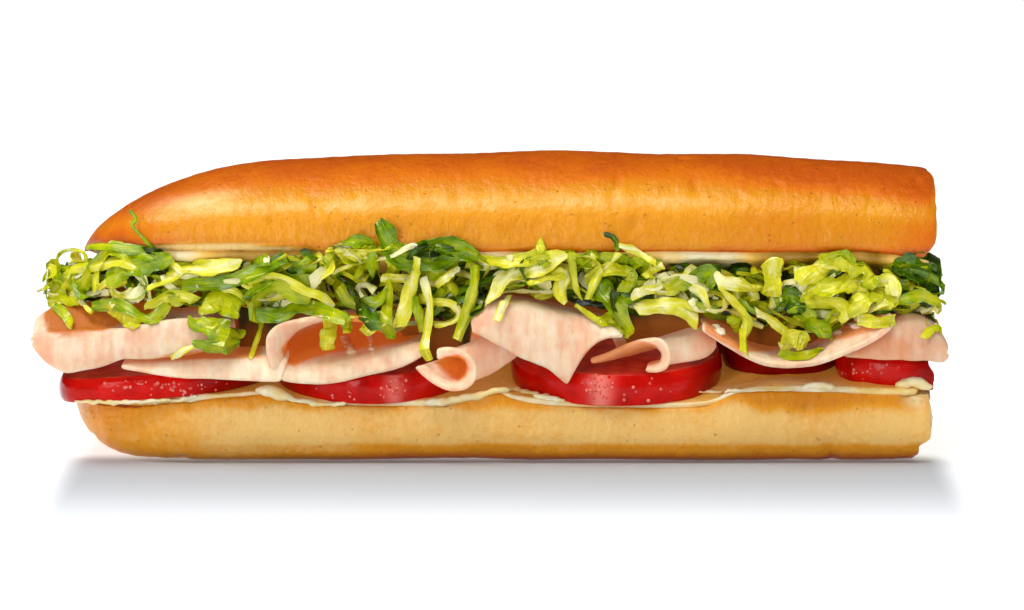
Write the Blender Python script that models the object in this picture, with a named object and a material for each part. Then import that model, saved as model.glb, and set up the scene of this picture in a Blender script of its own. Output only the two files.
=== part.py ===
# Submarine sandwich: half of a long soft roll, split in two, filled with mayonnaise,
# tomato slices, folded turkey slices and shredded lettuce.
# The length runs along X with the round end at -X and the knife-cut end at +X.
# The open side that shows most filling faces -Y. The origin is on the flat underside.
# Sizes are in millimetres, turned into metres where a mesh is made.

import math
import random

import bmesh
import bpy
import numpy as np
from mathutils import Vector
from mathutils.bvhtree import BVHTree

MM = 0.001
GAP = 0.3

# Roll
ROUND_END = -107.0
CUT_END = 102.5
HALF_WIDTH = 37.0
PLAN_ROUND = 32.0
STATIONS = 38
TOP_STATIONS = 31
ACROSS = (-1.0, -0.9, -0.72, -0.5, -0.25, 0.0, 0.25, 0.5, 0.72, 0.9, 1.0)
CORNER_SQUEEZE = ((2.4, 1.0), (0.7, 0.975), (0.0, 0.94))
PLAN_CURVE = (2.3, 0.5)
NARROWEST = 0.8

# Lower half of the roll
FRONT_EDGE = 17.2
LOWER_SLOPE = math.radians(6.5)
END_DROP = 8.5
END_DROP_LENGTH = 32.0
UNDER_RISE = 10.5
UNDER_RISE_LENGTH = 22.0
FACE_SHARE = 0.985
# How far each point of the side wall stands in from the full width, and its share of the height
SIDE_WALL = ((0.0, 0.78), (-0.012, 0.45), (0.03, 0.2), (0.13, 0.04), (0.28, 0.0))

# Upper half of the roll
TOP_END = -104.2
TOP_CUT_END = 103.6
TOP_TILT = math.radians(7.0)
TOP_FRONT_EDGE = 52.2
CROWN = 24.3
CROWN_AT = 12.7
CROWN_FALL = 4.5e-4
CROWN_ROUND = 48.0
CROWN_CURVE = (2.2, 0.667)
DOME_POWER = 2.35
FACE_BULGE = 5.0
FACE_BULGE_BACK = 2.4
CORNER_SAG = 2.6
CORNER_SAG_LENGTH = 20.0
DOME_STEPS = 12
DOME_TUCK = 0.035

# Mayonnaise
MAYO = 0.9
LOWER_MAYO_SHARE = 0.985
UPPER_MAYO_SHARE = 0.965
UPPER_MAYO_WAVE = 0.7
SEAT = MAYO + 2 * GAP

# Tomato slices: centre x and y, radius, thickness, height of the underside, tilt to the front and to the left
TOMATOES = {
    "tomato_slice_1": (-84.0, -12.5, 25.4, 6.0, 15.4, -1.0, 4.5),
    "tomato_slice_2": (-33.0, -14.8, 24.0, 7.0, 18.0, 8.0, 0.0),
    "tomato_slice_3": (26.7, -13.6, 26.0, 7.5, 17.8, 8.0, 0.0),
    "tomato_slice_4": (105.8, -8.5, 26.0, 6.3, 20.9, 6.0, 0.0),
    "tomato_slice_5": (65.9, -4.0, 12.9, 6.0, 20.0, 6.0, 0.0),
    "tomato_slice_6": (-57.5, 20.4, 14.4, 5.0, 21.6, 6.5, 0.0),
    "tomato_slice_7": (-3.2, 20.2, 15.4, 5.0, 21.8, 6.5, 0.0),
    "tomato_slice_8": (50.0, 22.2, 14.6, 5.0, 22.0, 6.5, 0.0),
}
TOMATO_SIDES = 24
TOMATO_LOBES = 0.012
SEAT_MARGIN = 6.2
SEAT_BLEND = 4.6

# Turkey slices, each one sheet that runs from the front to the back.
# line: points of its front fold as x and z, then how far the free edge hangs outside the fold or,
# as two more numbers, the x and z that the edge hangs to. A line of as many points as columns is kept.
# front: y of the fold. level: height at the back. flat: share of its height kept at the back.
# drift: how far the slice moves right and up behind the fold, how much wider it gets there, and the share
# of its depth by which it has done so.
TURKEY_THICK = 1.5
TURKEY_CLEAR = 0.45
TURKEY_REACH = 4.4
TURKEY_BACK = 35.0
TURKEY_HANG = (90, 55, 25)
TURKEY_ROWS = (0.0, 0.07, 0.17, 0.36, 0.58, 0.8, 1.0)
TURKEY_RUFFLE = 0.35
STRAIGHT = (0.0, 0.0, 1.0, 1.0)
TURKEY = {
    "turkey_slice_2": {
        "line": (
            (-92.4, 24.2, -92.8, 23.8), (-88.6, 24.3, -88.8, 22.8), (-84.6, 24.4, -84.8, 22.1),
            (-80.4, 24.6, -80.6, 21.6), (-76.2, 24.8, -76.4, 21.1), (-72.0, 25.0, -72.2, 20.8),
            (-68.0, 25.2, -68.2, 20.6), (-64.2, 25.4, -64.2, 20.5), (-60.8, 25.4, -60.9, 20.4),
            (-57.6, 25.2, -58.9, 20.5),
        ),
        "columns": 10, "front": -34.8, "level": 29.0, "flat": 0.4,
    },
    "turkey_slice_4": {
        "line": (
            (-19.9, 24.3, -22.1, 24.4), (-17.8, 22.4, -19.9, 22.0), (-15.6, 20.6, -17.2, 19.8),
            (-12.9, 19.9, -13.6, 18.3), (-10.7, 20.9, -9.9, 18.6), (-9.4, 22.9, -7.7, 20.6),
            (-9.4, 25.1, -7.2, 23.2), (-10.8, 26.5, -7.9, 26.2), (-13.2, 26.9, -10.4, 28.2),
            (-15.4, 26.6, -13.7, 28.9), (-16.8, 25.9, -17.0, 28.6),
        ),
        "columns": 15, "front": -37.2, "level": 30.6, "flat": 0.36, "drift": (13.0, 1.8, 1.3, 0.14),
    },
    "turkey_slice_6": {
        "line": (
            (33.8, 24.0, 33.1, 22.8), (35.5, 23.4, 35.7, 22.4), (37.0, 24.3, 38.4, 23.3),
            (37.7, 26.1, 39.4, 25.9), (36.7, 28.1, 38.6, 29.4), (34.3, 28.8, 35.5, 30.8),
            (31.4, 28.1, 31.2, 30.0), (27.6, 26.6, 27.1, 28.4), (23.8, 25.4, 23.2, 26.4),
            (20.4, 24.8, 19.8, 25.2),
        ),
        "columns": 15, "front": -34.2, "level": 30.8, "flat": 0.38, "drift": (11.0, 0.6, 1.45, 0.1),
    },
    "turkey_slice_8": {
        "line": (
            (80.6, 27.2, 80.6, 26.0), (84.6, 28.4, 84.4, 25.7), (88.4, 30.4, 88.2, 25.4),
            (91.8, 33.0, 91.8, 25.1), (94.6, 34.8, 95.0, 25.3), (97.2, 35.2, 98.0, 24.7),
            (99.8, 34.6, 101.0, 25.3), (102.0, 33.2, 103.4, 24.5), (103.8, 31.4, 105.2, 24.8),
            (105.0, 29.6, 105.9, 25.6), (105.8, 28.0, 105.9, 27.0),
        ),
        "columns": 11, "front": -32.8, "level": 29.6, "flat": 0.3,
    },
    "turkey_slice_3": {
        "line": (
            (-27.0, 34.4, -27.0, 34.6), (-33.0, 35.2, -33.0, 35.6), (-39.0, 35.5, -39.2, 36.1),
            (-44.6, 35.2, -45.2, 36.2), (-49.4, 33.6, -51.2, 35.4), (-52.2, 31.2, -55.6, 34.2),
            (-54.0, 28.4, -57.9, 31.4), (-54.2, 25.8, -57.8, 27.6), (-53.2, 23.8, -56.8, 23.6),
            (-50.4, 23.0, -54.6, 20.8), (-46.4, 23.3, -50.6, 20.1), (-42.0, 24.0, -45.4, 19.6),
            (-37.4, 25.0, -39.8, 19.9), (-32.2, 26.4, -33.6, 21.0), (-27.0, 27.8, -27.6, 22.6),
            (-22.8, 28.6, -22.8, 24.8), (-19.6, 28.9, -19.6, 27.0),
        ),
        "columns": 17, "front": -35.2, "level": 31.4, "flat": 0.32,
    },
    "turkey_slice_5": {
        "line": (
            (-8.4, 34.0, -8.6, 32.6), (-7.0, 36.6, -6.4, 31.4), (-4.6, 38.2, -3.6, 30.0),
            (-1.4, 38.8, -0.6, 28.2), (2.0, 38.7, 2.4, 26.3), (5.4, 38.1, 5.6, 24.9),
            (8.4, 37.4, 8.6, 23.9), (11.0, 36.8, 11.4, 21.9), (13.4, 36.2, 13.2, 20.0),
            (15.2, 35.8, 14.3, 19.2), (16.8, 35.4, 15.4, 21.2), (18.6, 34.9, 16.9, 24.3),
            (20.6, 34.4, 19.0, 27.6), (22.8, 33.8, 21.8, 30.3), (25.2, 32.9, 24.8, 31.3),
            (27.8, 31.9, 27.8, 31.4),
        ),
        "columns": 16, "front": -35.4, "level": 33.6, "flat": 0.2,
    },
    "turkey_slice_7": {
        "line": (
            (46.8, 33.6, 0.3), (50.4, 31.7, 0.5), (55.0, 28.6, 0.6), (60.0, 26.0, 0.6), (66.0, 24.9, 0.6),
            (72.0, 25.2, 0.6), (78.0, 26.8, 0.5), (84.0, 29.2, 0.5), (89.0, 32.0, 0.4), (92.2, 34.8, 0.3),
        ),
        "columns": 14, "front": -36.4, "level": 33.4, "flat": 0.25,
    },
}

# The first turkey slice folds into a trough that opens at the round end.
# Rows: y, share of the way from hem to lip, rise above the lip, shift of the left end.
TROUGH_COLUMNS = 13
TROUGH_LEVEL = 32.8
TROUGH_ROWS = (
    (-39.2, 0.0, 0.0, 0.0), (-39.6, 0.5, 0.0, -2.4), (-38.2, 1.0, 0.0, -1.0), (-35.0, 1.0, -1.8, -3.4),
    (-30.0, 1.0, -2.2, -4.0), (-25.0, 1.0, 1.6, -3.6), (-19.0, 1.0, 4.4, 0.5), (-6.0, 1.0, 2.2, 6.0),
    (8.0, 1.0, 0.2, 9.0), (22.0, 1.0, -1.0, 13.0), (34.5, 1.0, -1.2, 22.0),
)
TROUGH_LIP = ((-110.5, 31.6), (-101.0, 32.9), (-91.0, 33.2), (-82.0, 35.0), (-74.0, 35.6), (-66.0, 35.4))
TROUGH_HEM = ((-105.0, 21.6), (-100.6, 23.0), (-94.6, 24.3), (-86.6, 25.4), (-75.0, 27.0), (-66.5, 28.8))

# Lettuce
CORE_FRONT = -30.5
CORE_BACK = 31.5
CORE_LEFT = -105.0
CORE_RIGHT = 99.5
CORE_COLUMNS = 24
CORE_ROWS = 8
CORE_CELL = 9.6
CORE_NARROW = 0.45
CORE_FLOOR = 0.9
CORE_THIN = 1.6
CORE_LEVEL = 38.5
CORE_OPEN = 9.0
NEAR = (-1.0, -0.5, 0.0, 0.5, 1.0)
SHRED_THICK = 1.1
SHRED_SPARE = 0.8
SHRED_CLEAR = 1.9
SHRED_SIDE = 2.2
SHRED_TRIES = 40
SHRED_STEPS = 5
SHRED_CURL = math.pi * 0.62
FAR = 200.0

COLOURS = {
    "crust": ("#E2923A", 0.42),
    "mayonnaise": ("#F6E9BE", 0.3),
    "tomato": ("#CF1B14", 0.25),
    "turkey": ("#F0CBA6", 0.4),
    "lettuce": ("#9DBB2A", 0.4),
}


def smooth(value):
    value = min(1.0, max(0.0, value))
    return value * value * (3 - 2 * value)


def linear(channel):
    return channel / 12.92 if channel <= 0.04045 else ((channel + 0.055) / 1.055) ** 2.4


def finish(name):
    hex_colour, roughness = COLOURS[name]
    material = bpy.data.materials.get(name)
    if material is None:
        material = bpy.data.materials.new(name)
        material.use_nodes = True
        shader = material.node_tree.nodes["Principled BSDF"]
        rgb = [linear(int(hex_colour[i : i + 2], 16) / 255) for i in (1, 3, 5)]
        shader.inputs["Base Color"].default_value = (*rgb, 1)
        shader.inputs["Roughness"].default_value = roughness
        shader.inputs["Metallic"].default_value = 0.0
    return material


def add_object(name, mesh_builder, material):
    mesh = bpy.data.meshes.new(name)
    mesh_builder.to_mesh(mesh)
    mesh_builder.free()
    mesh.materials.append(finish(material))
    mesh.shade_smooth()
    mesh.set_sharp_from_angle(angle=math.radians(40))
    made = bpy.data.objects.new(name, mesh)
    bpy.context.scene.collection.objects.link(made)
    return made


def loft(rings):
    # Closed rings of equal length bridged in turn, with a flat cap at each end.
    made = bmesh.new()
    loops = [[made.verts.new(Vector(point) * MM) for point in ring] for ring in rings]
    count = len(loops[0])
    for first, second in zip(loops, loops[1:]):
        for i in range(count):
            j = (i + 1) % count
            made.faces.new((first[i], first[j], second[j], second[i]))
    made.faces.new(list(reversed(loops[0])))
    made.faces.new(loops[-1])
    bmesh.ops.recalc_face_normals(made, faces=made.faces)
    return made


def slab(lower, upper):
    # Two grids of equal size, one above the other, closed round their border.
    made = bmesh.new()
    grids = [
        [[made.verts.new(Vector(point) * MM) for point in row] for row in grid]
        for grid in (lower, upper)
    ]
    rows, columns = len(lower), len(lower[0])
    for grid in grids:
        for i in range(rows - 1):
            for j in range(columns - 1):
                a, b = grid[i][j], grid[i + 1][j]
                c, d = grid[i + 1][j + 1], grid[i][j + 1]
                made.faces.new((a, b, c))
                made.faces.new((a, c, d))
    border = [(i, 0) for i in range(rows)]
    border += [(rows - 1, j) for j in range(1, columns)]
    border += [(i, columns - 1) for i in range(rows - 2, -1, -1)]
    border += [(0, j) for j in range(columns - 2, 0, -1)]
    for (i, j), (k, m) in zip(border, border[1:] + border[:1]):
        made.faces.new((grids[0][i][j], grids[0][k][m], grids[1][k][m], grids[1][i][j]))
    bmesh.ops.recalc_face_normals(made, faces=made.faces)
    return made


# Roll


def end_share(distance, length, power, blunt):
    # Share of the full size at a distance from the round end.
    if distance >= length:
        return 1.0
    return (1 - (1 - max(0.0, distance) / length) ** power) ** blunt


def half_width(x, end):
    return max(NARROWEST, HALF_WIDTH * end_share(x - end, PLAN_ROUND, *PLAN_CURVE))


def slice_plane(row, x, y):
    centre_x, centre_y, _, _, height, front_tilt, left_tilt = row
    return (
        height
        + (y - centre_y) * math.tan(math.radians(front_tilt))
        + (x - centre_x) * math.tan(math.radians(left_tilt))
    )


def lower_face(x, y):
    # The cut face of the lower half, pressed in under each tomato slice.
    nominal = FRONT_EDGE + (y + HALF_WIDTH) * math.tan(LOWER_SLOPE)
    nominal -= END_DROP * max(0.0, 1 - (x - ROUND_END) / END_DROP_LENGTH) ** 1.6
    height = nominal
    for row in TOMATOES.values():
        past = math.hypot(x - row[0], y - row[1]) - row[2]
        pressed = 1 - smooth((past - SEAT_MARGIN) / SEAT_BLEND)
        seat = slice_plane(row, x, y) - SEAT
        height = min(height, nominal + (seat - nominal) * pressed)
    return height


def stations(end, cut_end, count):
    # Closer together at the round end, where the width changes fastest.
    length = cut_end - CORNER_SQUEEZE[0][0] - end
    found = [(end + length * (i / (count - 1)) ** 1.2, 1.0) for i in range(count)]
    return found + [(cut_end - back, squeeze) for back, squeeze in CORNER_SQUEEZE[1:]]


def across(width):
    return [width * share for share in ACROSS]


def lower_section(x, squeeze):
    width = half_width(x, ROUND_END)
    under = UNDER_RISE * max(0.0, 1 - (x - ROUND_END) / UNDER_RISE_LENGTH) ** 3
    face = [(y, lower_face(x, y)) for y in across(width * FACE_SHARE)]
    wall = [(width * (1 - inset), share) for inset, share in SIDE_WALL]
    ring = list(face)
    ring += [(y, under + (face[-1][1] - under) * share) for y, share in wall]
    ring += [(-y, under + (face[0][1] - under) * share) for y, share in reversed(wall)]
    middle = FRONT_EDGE / 2
    section = []
    for y, z in ring:
        squeezed = middle + (z - middle) * squeeze if squeeze < 1 and z > 1 else z
        section.append((x, y * squeeze, squeezed))
    return section


def raise_top(x, y, z):
    # From the upper half's own plane to its place, tilted so that the front gapes.
    y_centre = -HALF_WIDTH + HALF_WIDTH * math.cos(TOP_TILT)
    z_centre = TOP_FRONT_EDGE - HALF_WIDTH * math.sin(TOP_TILT)
    return (
        x,
        y_centre + y * math.cos(TOP_TILT) + z * math.sin(TOP_TILT),
        z_centre - y * math.sin(TOP_TILT) + z * math.cos(TOP_TILT),
    )


def corner_sag(x):
    return CORNER_SAG * max(0.0, (x - TOP_CUT_END + CORNER_SAG_LENGTH) / CORNER_SAG_LENGTH) ** 2


def upper_face(x, y):
    # The cut face of the upper half, in its own plane: it bulges down between its edges.
    width = half_width(x, TOP_END)
    ends = end_share(x - TOP_END, CROWN_ROUND, *CROWN_CURVE)
    bulge = FACE_BULGE + (FACE_BULGE_BACK - FACE_BULGE) * smooth((y / width + 0.6) / 1.4)
    return -bulge * ends * (1 - abs(y / width) ** 2.6) - corner_sag(x)


def upper_section(x, squeeze):
    width = half_width(x, TOP_END)
    crown = (CROWN - CROWN_FALL * (x - CROWN_AT) ** 2) * end_share(x - TOP_END, CROWN_ROUND, *CROWN_CURVE)
    crown = max(crown, NARROWEST)
    ring = []
    for i in range(DOME_STEPS + 1):
        angle = math.pi * i / DOME_STEPS
        y = -math.copysign(abs(math.cos(angle)) ** (2 / DOME_POWER), math.cos(angle)) * width
        z = math.sin(angle) ** (2 / DOME_POWER) * crown
        tuck = 1 - DOME_TUCK * (1 - z / crown) ** 6
        ring.append((y * tuck, z - corner_sag(x) * (1 - z / crown)))
    edge = ring[0][0]
    ring += [(y, upper_face(x, y)) for y in reversed(across(-edge)[1:-1])]
    middle = crown / 2
    return [raise_top(x, y * squeeze, middle + (z - middle) * squeeze) for y, z in ring]


def build_roll():
    lower = loft([lower_section(x, squeeze) for x, squeeze in stations(ROUND_END, CUT_END, STATIONS)])
    add_object("roll_bottom", lower, "crust")
    upper = loft([upper_section(x, squeeze) for x, squeeze in stations(TOP_END, TOP_CUT_END, TOP_STATIONS)])
    add_object("roll_top", upper, "crust")


# Mayonnaise


def draw_in(row, heights, share):
    # The two ends of a cross row moved towards their neighbours, along the surface.
    for end, inner in ((0, 1), (-1, -2)):
        row[end] += share * (row[inner] - row[end])
        heights[end] += share * (heights[inner] - heights[end])


def build_mayonnaise():
    lower, upper = [], []
    for x, _ in stations(ROUND_END, CUT_END, STATIONS)[4:STATIONS]:
        width = half_width(x, ROUND_END) * LOWER_MAYO_SHARE
        row = across(width)
        heights = [lower_face(x, y) for y in row]
        draw_in(row, heights, 0.15)
        lower.append([(x, y, z + GAP) for y, z in zip(row, heights)])
        upper.append([(x, y, z + GAP + MAYO) for y, z in zip(row, heights)])
    add_object("mayonnaise_bottom", slab(lower, upper), "mayonnaise")

    lower, upper = [], []
    for x, _ in stations(TOP_END, TOP_CUT_END, TOP_STATIONS)[4:TOP_STATIONS]:
        width = half_width(x, TOP_END) * UPPER_MAYO_SHARE
        row = across(width)
        heights = [upper_face(x, y) for y in row]
        draw_in(row, heights, 0.3)
        wave = 1 + UPPER_MAYO_WAVE * math.sin(x * 0.11 + 1.0) ** 2
        lower.append([raise_top(x, y, z - GAP - MAYO * wave) for y, z in zip(row, heights)])
        upper.append([raise_top(x, y, z - GAP) for y, z in zip(row, heights)])
    add_object("mayonnaise_top", slab(lower, upper), "mayonnaise")


# Tomato


def build_tomatoes():
    for name, row in TOMATOES.items():
        centre_x, centre_y, radius, thick, height, front_tilt, left_tilt = row
        profile = ((radius - 0.7, 0.0), (radius, 0.22), (radius, 0.78), (radius - 0.9, 1.0))
        rings = []
        for ring_radius, share in profile:
            ring = []
            for i in range(TOMATO_SIDES):
                angle = 2 * math.pi * i / TOMATO_SIDES
                lobed = ring_radius * (1 + TOMATO_LOBES * math.cos(3 * angle + centre_x))
                x = centre_x + lobed * math.cos(angle)
                y = centre_y + lobed * math.sin(angle)
                ring.append((x, y, slice_plane(row, x, y) + thick * share))
            rings.append(ring)
        made = loft(rings)
        if centre_x + radius > CUT_END:
            everything = made.verts[:] + made.edges[:] + made.faces[:]
            knife = Vector((CUT_END - 1.0, 0, 0)) * MM
            bmesh.ops.bisect_plane(
                made, geom=everything, plane_co=knife, plane_no=(1, 0, 0), clear_outer=True
            )
            rim = [edge for edge in made.edges if edge.is_boundary]
            bmesh.ops.holes_fill(made, edges=rim)
            bmesh.ops.recalc_face_normals(made, faces=made.faces)
        add_object(name, made, "tomato")


# Turkey


def tree_of(name):
    mesh = bpy.data.objects[name].data
    return BVHTree.FromPolygons([v.co.copy() for v in mesh.vertices], [p.vertices[:] for p in mesh.polygons])


def reach(trees, origin, direction):
    # Distance to the first surface, or None.
    hits = [tree.ray_cast(Vector(origin) * MM, Vector(direction)) for tree in trees]
    found = [hit[3] / MM for hit in hits if hit[3] is not None]
    return min(found) if found else None


def floor_at(trees, x, y, spread_x, spread_y):
    # Highest surface seen from above, in a small neighbourhood.
    heights = [0.0]
    for dx in (-1, 0, 1):
        for dy in (-1, -0.5, 0, 0.5, 1):
            distance = reach(trees, (x + dx * spread_x, y + dy * spread_y, FAR), (0, 0, -1))
            if distance is not None:
                heights.append(FAR - distance)
    return max(heights)


def spline(points, count):
    # Catmull-Rom curve through the points, sampled evenly by length.
    points = [np.array(point, float) for point in points]
    if count == len(points):
        return np.array(points)
    points = [2 * points[0] - points[1], *points, 2 * points[-1] - points[-2]]
    fine = []
    for a, b, c, d in zip(points, points[1:], points[2:], points[3:]):
        square, cube = 2 * a - 5 * b + 4 * c - d, 3 * b - a - 3 * c + d
        for t in np.linspace(0, 1, 13)[:-1]:
            fine.append(0.5 * (2 * b + (c - a) * t + square * t**2 + cube * t**3))
    fine.append(points[-2])
    fine = np.array(fine)
    lengths = np.concatenate([[0], np.cumsum(np.linalg.norm(np.diff(fine[:, :2], axis=0), axis=1))])
    wanted = np.linspace(0, lengths[-1], count)
    return np.array([np.interp(wanted, lengths, fine[:, k]) for k in range(fine.shape[1])]).T


def thickened(grid, thick):
    # Two grids, half the thickness to each side of the middle one.
    grid = np.array(grid, float)
    normals = np.cross(np.gradient(grid, axis=0), np.gradient(grid, axis=1))
    normals /= np.linalg.norm(normals, axis=2)[..., None]
    return grid - normals * thick / 2, grid + normals * thick / 2


def lifted(grid, trees):
    # Each row raised clear of what lies below it.
    for i, row in enumerate(grid):
        spread = 0.55 * abs(grid[min(i + 1, len(grid) - 1)][0][1] - row[0][1])
        for point in row:
            floor = floor_at(trees, point[0], point[1], min(3.4, 1 + spread), max(1.0, spread))
            point[2] = max(point[2], floor + TURKEY_THICK / 2 + TURKEY_CLEAR)
    return grid


def hanging(line):
    # From each point of the fold to the free edge, as x and z.
    if line.shape[1] == 4:
        return line[:, 2:] - line[:, :2]
    tangent = np.gradient(line[:, :2], axis=0)
    tangent /= np.linalg.norm(tangent, axis=1)[:, None]
    return np.stack([tangent[:, 1], -tangent[:, 0]], axis=1) * line[:, 2:]


def build_turkey_sheet(name, shape, trees):
    line = spline(shape["line"], shape["columns"])
    fold, hang = line[:, :2], hanging(line)
    middle = (fold.max(axis=0) + fold.min(axis=0)) / 2
    drift_x, drift_z, widen, drift_end = shape.get("drift", STRAIGHT)
    grid = []
    for angle in TURKEY_HANG:
        turn = math.radians(angle)
        y = shape["front"] - TURKEY_REACH * math.sin(turn)
        grid.append([[x, y, z] for x, z in fold + hang * (1 - math.cos(turn))])
    for share in TURKEY_ROWS:
        row = []
        ease, moved = smooth(share), smooth(share / drift_end)
        body = middle + (fold - middle) * (1 + (widen - 1) * moved) + np.array((drift_x, drift_z)) * moved
        for i, ((near_x, near_z), (x, z)) in enumerate(zip(fold, body)):
            waves = math.sin(near_x * 0.31 + share * 5.0) + math.sin(i * 1.9 + middle[0])
            depth = TURKEY_BACK - shape["front"] + 1.2 * math.sin(i * 0.9 + middle[0])
            back_z = shape["level"] + (near_z - middle[1]) * shape["flat"] + TURKEY_RUFFLE * waves / 2
            back_x = middle[0] + (near_x - middle[0]) * 0.96
            row.append([x + (back_x - x) * ease, shape["front"] + depth * share, z + (back_z - z) * ease])
        grid.append(row)
    lower, upper = thickened(lifted(grid, trees), TURKEY_THICK)
    add_object(name, slab(lower, upper), "turkey")


def build_turkey_trough(name, trees):
    lip = spline(TROUGH_LIP, TROUGH_COLUMNS)
    hem = spline(TROUGH_HEM, TROUGH_COLUMNS)
    grid = []
    for y, share, rise, shift in TROUGH_ROWS:
        row = []
        for i, ((hem_x, hem_z), (lip_x, lip_z)) in enumerate(zip(hem, lip)):
            to_left = 1 - i / (TROUGH_COLUMNS - 1)
            x = hem_x + (lip_x - hem_x) * share + shift * to_left**1.4
            level = TROUGH_LEVEL + (lip_z - TROUGH_LEVEL) * (1 - smooth((y + 20) / 45))
            z = hem_z + (lip_z - hem_z) * share if share < 1 else level + rise
            row.append([x, y, z])
        grid.append(row)
    lower, upper = thickened(lifted(grid, trees), TURKEY_THICK)
    add_object(name, slab(lower, upper), "turkey")


def build_turkey():
    trees = [tree_of(name) for name in ("roll_bottom", "mayonnaise_bottom", *TOMATOES)]
    low = ("turkey_slice_2", "turkey_slice_4", "turkey_slice_6", "turkey_slice_8")
    for name in low:
        build_turkey_sheet(name, TURKEY[name], trees)
    build_turkey_sheet("turkey_slice_3", TURKEY["turkey_slice_3"], trees)
    trees += [tree_of(name) for name in (*low, "turkey_slice_3")]
    build_turkey_trough("turkey_slice_1", trees)
    for name in ("turkey_slice_5", "turkey_slice_7"):
        build_turkey_sheet(name, TURKEY[name], trees)


# Lettuce


def build_core(trees):
    lower, upper = [], []
    roof = [tree_of(name) for name in ("mayonnaise_top", "roll_top")]
    for i in range(CORE_COLUMNS):
        x = CORE_LEFT + (CORE_RIGHT - CORE_LEFT) * i / (CORE_COLUMNS - 1)
        narrow = min(1.0, max(CORE_NARROW, (half_width(x, TOP_END) - 5.0) / CORE_BACK))
        low_row, high_row = [], []
        for j in range(CORE_ROWS):
            y = (CORE_FRONT + (CORE_BACK - CORE_FRONT) * j / (CORE_ROWS - 1)) * narrow
            around = [(x + dx * CORE_CELL, y + dy * CORE_CELL) for dx in NEAR for dy in NEAR]
            floor = max(floor_at(trees, *place, SHRED_SIDE, SHRED_SIDE) for place in around)
            above = [reach(roof, (*place, CORE_LEVEL), (0, 0, 1)) for place in around]
            ceiling = CORE_LEVEL + min([height for height in above if height is not None] or [CORE_OPEN])
            low_row.append((x, y, min(floor + CORE_FLOOR, ceiling - CORE_THIN)))
            high_row.append((x, y, ceiling - GAP))
        lower.append(low_row)
        upper.append(high_row)
    return add_object("lettuce", slab(lower, upper), "lettuce")


def kept_out(trees, point, outward, clearance):
    # The point moved outwards until it is clear of everything behind it.
    start = Vector(point) + outward * FAR
    nearest = None
    for dx, dz in ((0, 0), (-1, 0), (1, 0), (0, -1), (0, 1)):
        side = Vector((dx * abs(outward.y), dx * abs(outward.x), dz)) * SHRED_SIDE
        distance = reach(trees, start + side, -outward)
        if distance is not None and (nearest is None or distance < nearest):
            nearest = distance
    if nearest is None:
        return Vector(point)
    return Vector(point) + outward * max(0.0, FAR - nearest + clearance)


def build_shred(name, points, side, width, thick):
    # A ribbon of four-cornered rings along the points.
    rings = []
    for i, point in enumerate(points):
        before, after = points[max(0, i - 1)], points[min(len(points) - 1, i + 1)]
        tangent = (after - before).normalized()
        across_way = (side - tangent * side.dot(tangent)).normalized()
        normal = tangent.cross(across_way)
        narrow = width / 2 * (1.0 if i < len(points) - 1 else 0.62)
        half = thick / 2
        corners = ((-1, -1), (1, -1), (1, 1), (-1, 1))
        rings.append([point + across_way * a * narrow + normal * b * half for a, b in corners])
    return add_object(name, loft(rings), "lettuce")


def shred_sites():
    # Where each shred leaves the core: x, y, lowest and highest z, outward way, shortest and longest length.
    front, back, left, right = Vector((0, -1, 0)), Vector((0, 1, 0)), Vector((-1, 0, 0)), Vector((1, 0, 0))
    sites = [(-95 + 191 * (i + 0.5) / 30, -27.5, 40.0, 46.0, front, 15, 25) for i in range(30)]
    sites += [(-84 + 174 * (i + 0.5) / 13, 28.0, 36.0, 40.0, back, 13, 18) for i in range(13)]
    sites += [(-102.0, -11 + 22 * i / 7, 42.5, 46.0, left, 16, 25) for i in range(8)]
    sites += [(96.0, -24 + 48 * i / 5, 37.0, 44.0, right, 11, 16) for i in range(6)]
    return sites


def shred_points(site, around, chance):
    # A curl that leaves the core outwards and then falls or rises to one side.
    x, y, low, high, outward, shortest, longest = site
    root = Vector((x + chance.uniform(-3, 3) * abs(outward.y), y, chance.uniform(low, high)))
    along = chance.uniform(-1.1, 1.1)
    rise = chance.choice((-1.0, -0.8, -0.4, 0.6))
    fall = Vector((along * outward.y, along * outward.x, rise)).normalized()
    radius = chance.uniform(shortest, longest) * 0.55
    points = [root]
    for i in range(1, SHRED_STEPS + 1):
        bend = (i / SHRED_STEPS) ** 1.3 * SHRED_CURL
        point = root + outward * radius * math.sin(bend) + fall * radius * (1 - math.cos(bend))
        points.append(kept_out(around, point, outward, SHRED_CLEAR) if i > 1 else point)
    return points, outward.cross(fall)


def overlaps(made, trees):
    mine = tree_of(made.name)
    return any(mine.overlap(tree) for tree in trees)


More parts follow.
